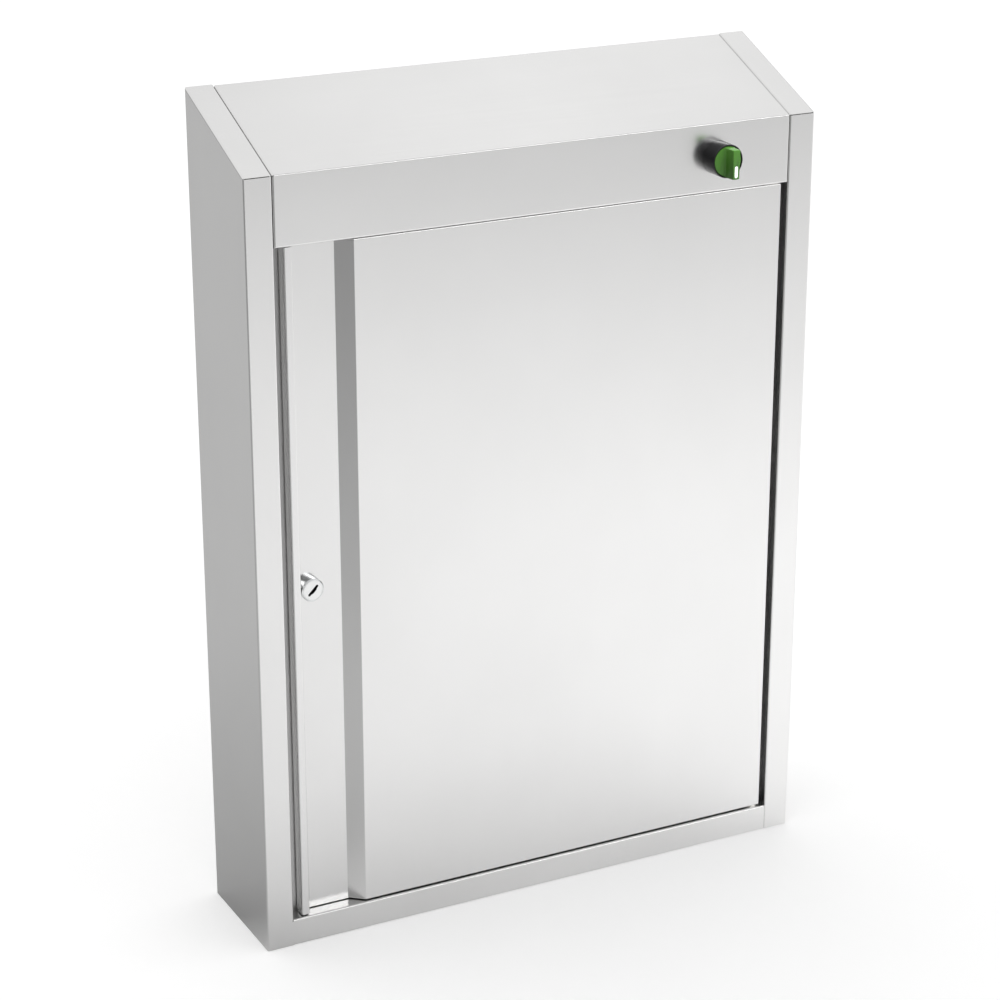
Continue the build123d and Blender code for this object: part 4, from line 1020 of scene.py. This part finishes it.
@dataclass
class Selector(SubAssembly):
    """Illuminated rotary selector on the fascia."""

    rim: float = 1.1
    knob_gap: float = 0.3
    sink: float = 0.4
    stem: float = 11.0
    shaft: float = 5.0
    tip_half: float = 2.65
    facet: float = 0.8
    pointer_low: float = 11.0
    pointer_high: float = 1.4
    pointer_width: float = 2.9
    nut_flats: float = 27.0

    def build(self) -> None:
        """Builds the black shell, the green knob and its pointer, and dresses the contacts."""
        low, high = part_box("selector_bezel")
        self.radius = (high.x - low.x) / 2 / MM
        self.face = Vector(((low.x + high.x) / 2, low.y, (low.z + high.z) / 2))
        self.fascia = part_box("roof_and_fascia")[0].y
        self.height = (self.fascia - low.y) / MM
        self.stem_end = (high.y - low.y) / MM
        self.shell()
        self.knob()
        self.contacts()

    def shell(self) -> None:
        """Builds the black ring with its threaded stem."""
        radius, height = self.radius, self.height
        inner = radius - self.rim
        bore = self.shaft + 0.05
        outline = [(bore, 4.6), (inner, 4.6), (inner, 0.4), (inner + 0.14, 0.12), (inner + 0.45, 0.0)]
        outline += [(radius - 0.4, 0.06), (radius - 0.1, 0.35), (radius, 0.8), (radius, height - 1.2)]
        outline += [(radius - 0.12, height - 1.1), (radius - 0.12, height), (self.stem, height)]
        outline += threads(self.stem, height + 1.4, self.stem_end - 0.4)
        outline += [(self.stem, self.stem_end - 0.5), (self.stem - 0.5, self.stem_end)]
        outline += [(bore, self.stem_end), (bore, 4.6)]
        piece = Bench.turned("selector_shell", outline, self.face, IN, 112)
        place(piece, Body.CABINET, Finishes.BLACK_SHELL, "selector_bezel")

    def knob(self) -> None:
        """Builds the knob: a dished disc with a proud grip bar that has hollow flanks."""
        radius = self.radius - self.rim - self.knob_gap
        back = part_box("selector_knob")[1].y
        proud = (self.face.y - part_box("selector_knob")[0].y) / MM
        end = (back - self.face.y) / MM
        outline = [(0, self.sink), (radius - 0.7, self.sink), (radius - 0.3, self.sink + 0.1)]
        outline += [(radius, self.sink + 0.45), (radius, 4.2), (self.shaft, 4.2), (self.shaft, end), (0, end)]
        knob = Bench.turned("selector_green_knob", outline, self.face, IN, 112)
        Bench.combine(knob, self.grip(radius, proud), "UNION")
        middle = self.face - UP * ((self.pointer_low + self.pointer_high) / 2 * MM)
        length = (self.pointer_low - self.pointer_high) * MM
        front = middle - IN * (proud * MM)
        width = self.pointer_width * MM
        spare = 0.1 * MM
        groove = Bench.capsule("groove", front - IN * MM, length + spare, width + spare, 1.8 * MM)
        Bench.combine(knob, groove, "DIFFERENCE")
        Bench.soften(knob, 0.22 * MM, 2, 38.0)
        Bench.smooth(knob, 30.0)
        place(knob, Body.SELECTOR, Finishes.GREEN_KNOB, "selector_knob")
        insert = Bench.capsule("pointer_insert", front + IN * (0.05 * MM), length, width, 0.75 * MM)
        Bench.soften(insert, 0.18 * MM, 3, 60.0)
        Bench.smooth(insert, 40.0)
        place(insert, Body.SELECTOR, Finishes.POINTER, "knob_pointer")

    def grip(self, radius: float, proud: float) -> Piece:
        """Builds the grip bar with its hollow flanks, its flat top and its narrower tip.

        Args:
            radius: The knob's radius, in millimetres.
            proud: How far the bar stands in front of the ring, in millimetres.

        Returns:
            The bar, cut to the knob's round.
        """
        rise = proud + self.sink
        levels = ((0.0, 7.4), (0.25, 6.1), (0.7, 5.05), (1.4, 4.3))
        levels += ((2.4, 3.8), (3.6, 3.5), (5.0, 3.38), (rise, 3.15))
        foot = self.face + IN * (self.sink * MM)
        right = [foot + OUT * (h * MM) + RIGHT * (w * MM) for h, w in levels]
        left = [foot + OUT * (h * MM) - RIGHT * (w * MM) for h, w in reversed(levels)]
        sunk = IN * (0.6 * MM)
        section = [right[0] + sunk, *right, *left, left[-1] + sunk]
        tall = (radius + 1.0) * MM
        bar = Bench.drawn("grip_bar", [point - UP * tall for point in section], UP * (2 * tall))
        Bench.take(bar)
        Bench.edit()
        low_end = foot.z - tall + 1e-6
        deep = foot.y - 2.0 * MM
        share = self.tip_half / levels[-1][1]
        Bench.pick_points(lambda point: point.z < low_end and point.y < deep)
        bpy.ops.transform.resize(value=(share, 1, 1), center_override=foot)
        Bench.leave()
        barrel = [(0, 1.2), (radius - 0.35, 1.2), (radius - 0.35, -0.3), (radius + 0.1, -1.2)]
        barrel += [(radius + 0.35, -4.0), (radius + 0.15, -proud + 1.0), (radius - 0.35, -proud)]
        barrel += [(radius - 0.6, -proud - 1.0), (0, -proud - 1.0)]
        tool = Bench.turned("grip_tool", barrel, self.face, IN, 112)
        Bench.combine(bar, tool, "INTERSECT")
        top = foot + UP * ((radius - self.facet) * MM)
        low = top - RIGHT * tall + OUT * (2 * tall)
        facet = Bench.block("facet_tool", low, top + RIGHT * tall + IN * (4 * MM) + UP * tall)
        Bench.combine(bar, facet, "DIFFERENCE")
        return bar

    def contacts(self) -> None:
        """Dresses what is behind the fascia and builds the stem's nut."""
        low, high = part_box("selector_nut")
        seat = Vector((self.face.x, low.y, self.face.z))
        fasteners = Fasteners(self.frame)
        thick = (high.y - low.y) / MM
        nut = fasteners.nut("selector_hexagon_nut", seat, IN, self.nut_flats, thick, self.stem)
        place(nut, Body.CABINET, Finishes.BLACK_SHELL, "selector_nut")
        self.dress(Finishes.BLACK_SHELL, "switch_collar")
        self.dress(Finishes.GREY_SHELL, "contact_blocks")
        self.dress(Finishes.LED_SHELL, "led_block")


@dataclass
class LampChamber(SubAssembly):
    """The ultraviolet lamp with its holders, reflector and guard, and the knife rail."""

    tube_wall: float = 0.8
    cap_wall: float = 0.4
    pin_pitch: float = 12.7
    pin_length: float = 7.1
    filament_loops: int = 9
    holder_thickness: float = 11.0

    def build(self) -> None:
        """Builds the lamp and dresses what is round it."""
        low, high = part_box("uv_lamp_tube")
        self.axis_point = self.middle("uv_lamp_tube")
        self.length = (high.x - low.x) / MM
        self.radius = (high.z - low.z) / 2 / MM
        self.start = Vector((low.x, self.axis_point.y, self.axis_point.z))
        self.tube()
        self.electrodes()
        self.end_caps()
        self.holders()
        self.dress(Finishes.REFLECTOR, "lamp_reflector")
        self.dress(Finishes.WIRE, "guard_hoops", "guard_wires")
        self.dress(Finishes.MILL_ACROSS, "knife_rail")
        self.dress(Finishes.FERRITE, "knife_rail_magnets")

    def mirrored(self, piece: Piece, name: str) -> Piece:
        """Copies a piece of one end to the other end of the lamp."""
        flip = Matrix.Translation((2 * self.axis_point.x, 0, 0)) @ Matrix.Scale(-1, 4, RIGHT)
        return Bench.copied(piece, name, flip)

    def tube(self) -> None:
        """Builds the glass tube with its necked ends."""
        radius, length, wall = self.radius, self.length, self.tube_wall
        neck = radius - 0.5
        outer = [(4.0, 0.2), (neck - 1.5, 0.2), (neck, 1.6), (neck, 9.0), (radius, 11.5)]
        shell = [*outer, *((r, length - x) for r, x in reversed(outer))]
        inner = [(max(r - wall, 3.2), min(x + wall, length / 2)) for r, x in outer]
        lining = [*inner, *((r, length - x) for r, x in reversed(inner))]
        outline = [(0, 0.2), *shell, (0, length - 0.2)]
        glass = Bench.turned("lamp_glass_tube", outline, self.start, RIGHT, 72)
        lining = [(0, 0.2 + wall), *lining, (0, length - 0.2 - wall)]
        hollow = Bench.turned("hollow", lining, self.start, RIGHT, 72)
        Bench.take(hollow)
        Bench.edit()
        bpy.ops.mesh.flip_normals()
        Bench.leave()
        glass = Bench.joined([glass, hollow])
        Bench.smooth(glass)
        place(glass, Body.CABINET, Finishes.QUARTZ, "uv_lamp_tube")

    def electrodes(self) -> None:
        """Builds the electrode mount inside each end: stem, two leads and a coiled filament."""
        start = self.start
        stem = [(0, 1.4), (5.0, 1.4), (4.6, 3.0), (3.0, 6.0), (2.6, 14.0), (1.6, 16.0), (0, 16.4)]
        pieces = [Bench.turned("electrode_left", stem, start, RIGHT, 32)]
        for hand in (-1, 1):
            foot = start + RIGHT * (15.0 * MM) + UP * (hand * 1.2 * MM)
            bend = start + RIGHT * (22.0 * MM) + UP * (hand * 4.6 * MM)
            pieces.append(Bench.rod("lead", foot, bend, 0.35 * MM, 12))
        for loop in range(self.filament_loops):
            rise = (loop - (self.filament_loops - 1) / 2) * 1.15
            at = start + RIGHT * (22.0 * MM) + UP * (rise * MM)
            Bench.clear()
            bpy.ops.mesh.primitive_torus_add(
                major_radius=0.9 * MM,
                minor_radius=0.16 * MM,
                major_segments=16,
                minor_segments=6,
                location=at,
            )
            ring = bpy.context.object
            Bench.settle(ring)
            pieces.append(ring)
        left = Bench.joined(pieces)
        Bench.smooth(left, 50.0)
        right = self.mirrored(left, "electrode_right")
        for piece in (left, right):
            place(piece, Body.CABINET, Finishes.CAP_METAL)

    def end_caps(self) -> None:
        """Builds the aluminium caps with their rolled edges and two pins each."""
        low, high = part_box("lamp_end_caps")
        outer = (high.z - low.z) / 2 / MM
        pin = self.pin_length
        start = Vector((low.x + pin * MM, self.axis_point.y, self.axis_point.z))
        bore = outer - self.cap_wall
        side = outer - 0.08
        outline = [(0, 0.5), (5.5, 0.5), (6.2, 0.0), (outer - 1.2, 0.0), (outer - 0.3, 0.35), (side, 1.0)]
        outline += [(side, 3.2), (outer - 0.25, 3.5), (side, 3.8), (side, 12.4)]
        outline += [(outer, 12.8), (outer, 13.6), (bore, 14.0), (bore, 1.5), (0, 1.5)]
        parts = [Bench.turned("lamp_cap_left", outline, start, RIGHT, 72)]
        pin_line = [(0, -pin), (0.8, -pin), (1.18, -pin + 0.5), (1.18, 0.6), (0, 0.6)]
        base_line = [(0, -0.6), (2.2, -0.6), (2.5, -0.3), (2.5, 0.6), (0, 0.6)]
        for hand in (-1, 1):
            at = start + UP * (hand * self.pin_pitch / 2 * MM)
            parts.append(Bench.turned("pin", pin_line, at, RIGHT, 24))
            parts.append(Bench.turned("pin_base", base_line, at + RIGHT * (0.3 * MM), RIGHT, 24))
        left = Bench.joined(parts)
        Bench.smooth(left)
        right = self.mirrored(left, "lamp_cap_right")
        for piece in (left, right):
            place(piece, Body.CABINET, Finishes.CAP_METAL, "lamp_end_caps")

    def holders(self) -> None:
        """Builds the white push-in holders with their rotors."""
        low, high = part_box("lampholders")
        thickness = self.holder_thickness * MM
        box_high = Vector((low.x + thickness, high.y, high.z))
        holder = Bench.block("lampholder_left", low, box_high)
        Bench.soften(holder, 2.4 * MM, 5, 60.0)
        face = Vector((low.x + thickness, self.axis_point.y, self.axis_point.z))
        ring = [(10.6, 0.5), (10.6, -0.55), (9.6, -0.55), (9.6, 0.5), (10.6, 0.5)]
        Bench.combine(holder, Bench.turned("ring_tool", ring, face, RIGHT, 64), "DIFFERENCE")
        for hand in (-1, 1):
            at = face + UP * (hand * self.pin_pitch / 2 * MM)
            tool = Bench.rod("socket", at - RIGHT * (8.0 * MM), at + RIGHT * MM, 1.45 * MM, 24)
            Bench.combine(holder, tool, "DIFFERENCE")
        Bench.smooth(holder, 30.0)
        right = self.mirrored(holder, "lampholder_right")
        for piece in (holder, right):
            place(piece, Body.CABINET, Finishes.WHITE_SHELL, "lampholders")


@dataclass
class Electrics(SubAssembly):
    """Ballast, starter, terminals and earth in the header."""

    def build(self) -> None:
        """Builds the starter's can and the earth nut, and dresses the rest."""
        self.dress(Finishes.BALLAST, "ballast")
        self.dress(Finishes.WHITE_SHELL, "starter_holder", "terminal_block")
        self.dress(Finishes.ZINC_PLATE, "terminal_screws", "earth_stud")
        self.starter()
        low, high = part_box("earth_nut")
        seat = self.middle("earth_nut")
        seat.z = low.z
        fasteners = Fasteners(self.frame)
        nut = fasteners.nut("earth_hexagon_nut", seat, UP, 10.0, (high.z - low.z) / MM, 3.0)
        place(nut, Body.CABINET, Finishes.ZINC_PLATE, "earth_nut")

    def starter(self) -> None:
        """Builds the starter's can with its stepped foot and rounded top."""
        low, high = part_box("starter")
        radius = (high.x - low.x) / 2 / MM
        tall = (high.z - low.z) / MM
        seat = Vector(((low.x + high.x) / 2, (low.y + high.y) / 2, low.z))
        outline = [(0, 0), (radius, 0), (radius, 4.0), (radius - 0.4, 4.4), (radius - 0.4, tall - 2.4)]
        outline += [(radius - 0.8, tall - 1.1), (radius - 1.8, tall - 0.3), (radius - 3.2, tall)]
        outline += [(radius - 4.0, tall), (radius - 4.3, tall - 0.3), (0, tall - 0.3)]
        can = Bench.turned("starter_can", outline, seat, UP, 56)
        place(can, Body.CABINET, Finishes.WHITE_SHELL, "starter")


# ---- Studio ----


@dataclass
class Studio:
    """Plain pale floor, soft light and the camera.

    Each pair of a curve is a place in metres, or a share of a direction, and the tone there.
    """

    camera_place: tuple[float, float, float] = (-0.9812, -1.8956, 1.1269)
    right: tuple[float, float, float] = (0.8896, -0.4566, 0.0)
    look: tuple[float, float, float] = (0.428, 0.834, -0.349)
    lens: float = 98.76
    key_place: tuple[float, float, float] = (0.35, -0.95, 2.9)
    key_target: tuple[float, float, float] = (0.1, 0.0, 0.5)
    key_size: float = 1.2
    key_power: float = 180.0
    floor_size: float = 60.0
    floor_glow: float = 0.16
    floor_pale: float = 0.97
    floor_bounce: float = 0.6
    # Painted shade in reflections: floor_mirrored and the floor curves below change only what the metal
    # mirrors of the floor, and the near curve is a painted contact shadow close in front of the cabinet.
    floor_mirrored: float = 1.145
    floor_left: Stops = ((-1.9, 0.30), (-1.3, 0.345), (-0.9, 0.395), (-0.55, 0.445), (-0.3, 0.46))
    floor_middle: Stops = ((-0.2, 0.77), (-0.1, 0.82), (0.0, 0.865), (0.15, 0.92))
    floor_right: Stops = ((0.3, 0.97), (0.6, 1.0), (1.0, 0.98), (1.8, 0.96))
    floor_away: Stops = ((-4.5, 0.42), (-2.4, 0.66), (-1.95, 0.71), (-1.3, 0.84), (-0.8, 0.94), (-0.4, 1.0))
    floor_near_painted_shadow: Stops = ((-0.5, 1.0), (-0.32, 1.03), (-0.16, 0.93), (-0.09, 0.845), (-0.06, 0.83))
    floor_open: Stops = ((0.14, 0.0), (0.34, 1.0))
    floor_behind_painted_shade: Stops = ((0.0, 0.30), (0.1, 0.35), (0.25, 0.39), (0.6, 0.45))
    floor_border: Stops = ((-0.05, 0.0), (0.01, 1.0))
    ambient: float = 0.95
    room: float = 1.1
    room_left: Stops = ((-1.0, 0.80), (-0.3, 0.85), (0.1, 0.80))
    room_right: Stops = ((0.36, 0.82), (0.46, 0.98), (0.55, 0.84), (1.0, 0.75))
    room_upward: Stops = ((-1.0, 0.5), (-0.2, 0.35), (0.2, 0.38), (0.45, 0.75), (0.6, 1.0), (1.0, 1.0))
    room_inward: Stops = ((-0.75, 0.25), (-0.45, 0.55), (-0.1, 1.0))
    window: float = 3.4
    window_upward: Stops = ((0.18, 0.0), (0.28, 1.0), (0.42, 1.0), (0.54, 0.0))
    window_inward: Stops = ((-0.70, 1.0), (-0.45, 0.0))
    window_across: Stops = ((0.12, 0.0), (0.34, 1.0))

    def build(self) -> None:
        """Sets the camera, the floor, the surroundings and the lamp."""
        self.camera()
        floor = self.floor()
        self.surroundings()
        self.softbox("key_softbox", floor)
        bpy.context.scene.view_settings.view_transform = "Standard"

    def camera(self) -> None:
        """Places the camera by its three axes."""
        look = Vector(self.look).normalized()
        right = Vector(self.right).normalized()
        up = right.cross(look)
        data = bpy.data.cameras.new("camera")
        data.lens = self.lens
        data.sensor_width = 36.0
        data.clip_end = 100.0
        camera = bpy.data.objects.new("camera", data)
        bpy.context.scene.collection.objects.link(camera)
        turn = Matrix((right, up, -look)).transposed().to_4x4()
        camera.matrix_world = Matrix.Translation(self.camera_place) @ turn
        bpy.context.scene.camera = camera

    def floor(self) -> Piece:
        """Lays a wide matt floor that glows a little, so that its shadows stay pale.

        What the sheet metal mirrors of it is painted darker to the left, behind and far in front, as painted
        shade that stands in for a studio floor outside its lamps' reach, and just in front of the cabinet as
        a painted contact shadow; the camera sees the floor plain.

        Returns:
            The floor.
        """
        Bench.clear()
        bpy.ops.mesh.primitive_plane_add(size=self.floor_size, location=(0, 0, -0.05 * MM))
        floor = bpy.context.object
        floor.name = "floor"
        recipe = Recipe("matt_floor")
        axes = recipe.axes("Object")
        near = recipe.curve(axes["Y"], self.floor_near_painted_shadow)
        near = recipe.choose(recipe.curve(axes["X"], self.floor_open), near, 1.0)
        across = recipe.curve(axes["X"], self.floor_left + self.floor_middle + self.floor_right)
        front = recipe.sum("MULTIPLY", across, recipe.curve(axes["Y"], self.floor_away))
        front = recipe.sum("MULTIPLY", front, near)
        behind = recipe.curve(axes["Y"], self.floor_behind_painted_shade)
        tone = recipe.choose(recipe.curve(axes["Y"], self.floor_border), front, behind)
        # Painted shade: glossy rays see the floor's tone darkened by the curves above and scaled by
        # floor_mirrored; camera rays see it plain.
        path = recipe.node("ShaderNodeLightPath").outputs
        tone = recipe.choose(path["Is Glossy Ray"], 1.0, recipe.sum("MULTIPLY", tone, self.floor_mirrored))
        tone = recipe.choose(path["Is Diffuse Ray"], tone, self.floor_bounce)
        speckle = recipe.span(recipe.noise(recipe.place(), 3.0, 2.0), 0.996, 1.0)
        tone = recipe.sum("MULTIPLY", tone, speckle)
        recipe.drive("Base Color", recipe.sum("MULTIPLY", tone, self.floor_pale))
        recipe.drive("Emission Strength", recipe.sum("MULTIPLY", tone, self.floor_glow))
        recipe.put(Roughness=1.0, Specular_IOR_Level=0.0, Emission_Color=(1.0, 1.0, 1.0, 1.0))
        floor.data.materials.append(recipe.material)
        floor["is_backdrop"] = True
        return floor

    def softbox(self, name: str, shaded_piece: Piece) -> None:
        """Hangs the square key lamp.

        Args:
            name: The lamp's name.
            shaded_piece: The piece that it leaves unlit.
        """
        data = bpy.data.lights.new(name, "AREA")
        data.size = self.key_size
        data.energy = self.key_power
        lamp = bpy.data.objects.new(name, data)
        bpy.context.scene.collection.objects.link(lamp)
        lamp.location = self.key_place
        aim = Vector(self.key_target) - Vector(self.key_place)
        lamp.rotation_mode = "QUATERNION"
        lamp.rotation_quaternion = aim.to_track_quat("-Z", "Y")
        lamp.visible_glossy = False
        unlit = bpy.data.collections.new(f"{name}_unlit")
        unlit.objects.link(shaded_piece)
        lamp.light_linking.receiver_collection = unlit
        for entry in unlit.collection_objects:
            entry.light_linking.link_state = "EXCLUDE"

    def surroundings(self) -> None:
        """Gives the metal a room to mirror, the mouldings an even light and the camera plain white."""
        world = bpy.data.worlds.new("studio")
        bpy.context.scene.world = world
        world.use_nodes = True
        world.cycles.sampling_method = "NONE"
        graph = Graph(world.node_tree)
        axes = graph.axes("Generated")
        across = graph.curve(axes["X"], self.room_left + self.room_right)
        room = graph.sum("MULTIPLY", across, graph.curve(axes["Z"], self.room_upward))
        room = graph.sum("MULTIPLY", room, graph.curve(axes["Y"], self.room_inward))
        window = graph.curve(axes["Z"], self.window_upward)
        window = graph.sum("MULTIPLY", window, graph.curve(axes["Y"], self.window_inward))
        window = graph.sum("MULTIPLY", window, graph.curve(axes["X"], self.window_across))
        path = graph.node("ShaderNodeLightPath").outputs
        tone = graph.sum("MULTIPLY_ADD", window, self.window, graph.sum("MULTIPLY", room, self.room))
        tone = graph.choose(path["Is Diffuse Ray"], tone, self.ambient)
        tone = graph.choose(path["Is Camera Ray"], tone, 1.0)
        light = graph.node("ShaderNodeBackground")
        light.inputs["Color"].default_value = (1.0, 1.0, 1.0, 1.0)
        graph.link(tone, light.inputs["Strength"])
        output = graph.node("ShaderNodeOutputWorld")
        graph.link(light.outputs["Background"], output.inputs["Surface"])


def main() -> list[list[float]]:
    """Builds the studio and every sub-assembly.

    Returns:
        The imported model's box as two corners.
    """
    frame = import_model()
    packed = [list(corner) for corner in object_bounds()]
    Bench.clear()
    Studio().build()
    for part in (Casing, Door, Fasteners, CamLock, Selector, LampChamber, Electrics):
        LOG.info("building %s", part.__name__)
        part(frame).build()
    Bench.clear()
    return packed


if __name__ == "__main__":
    logging.basicConfig(level=logging.INFO, format="%(message)s")
    cad_box = main()
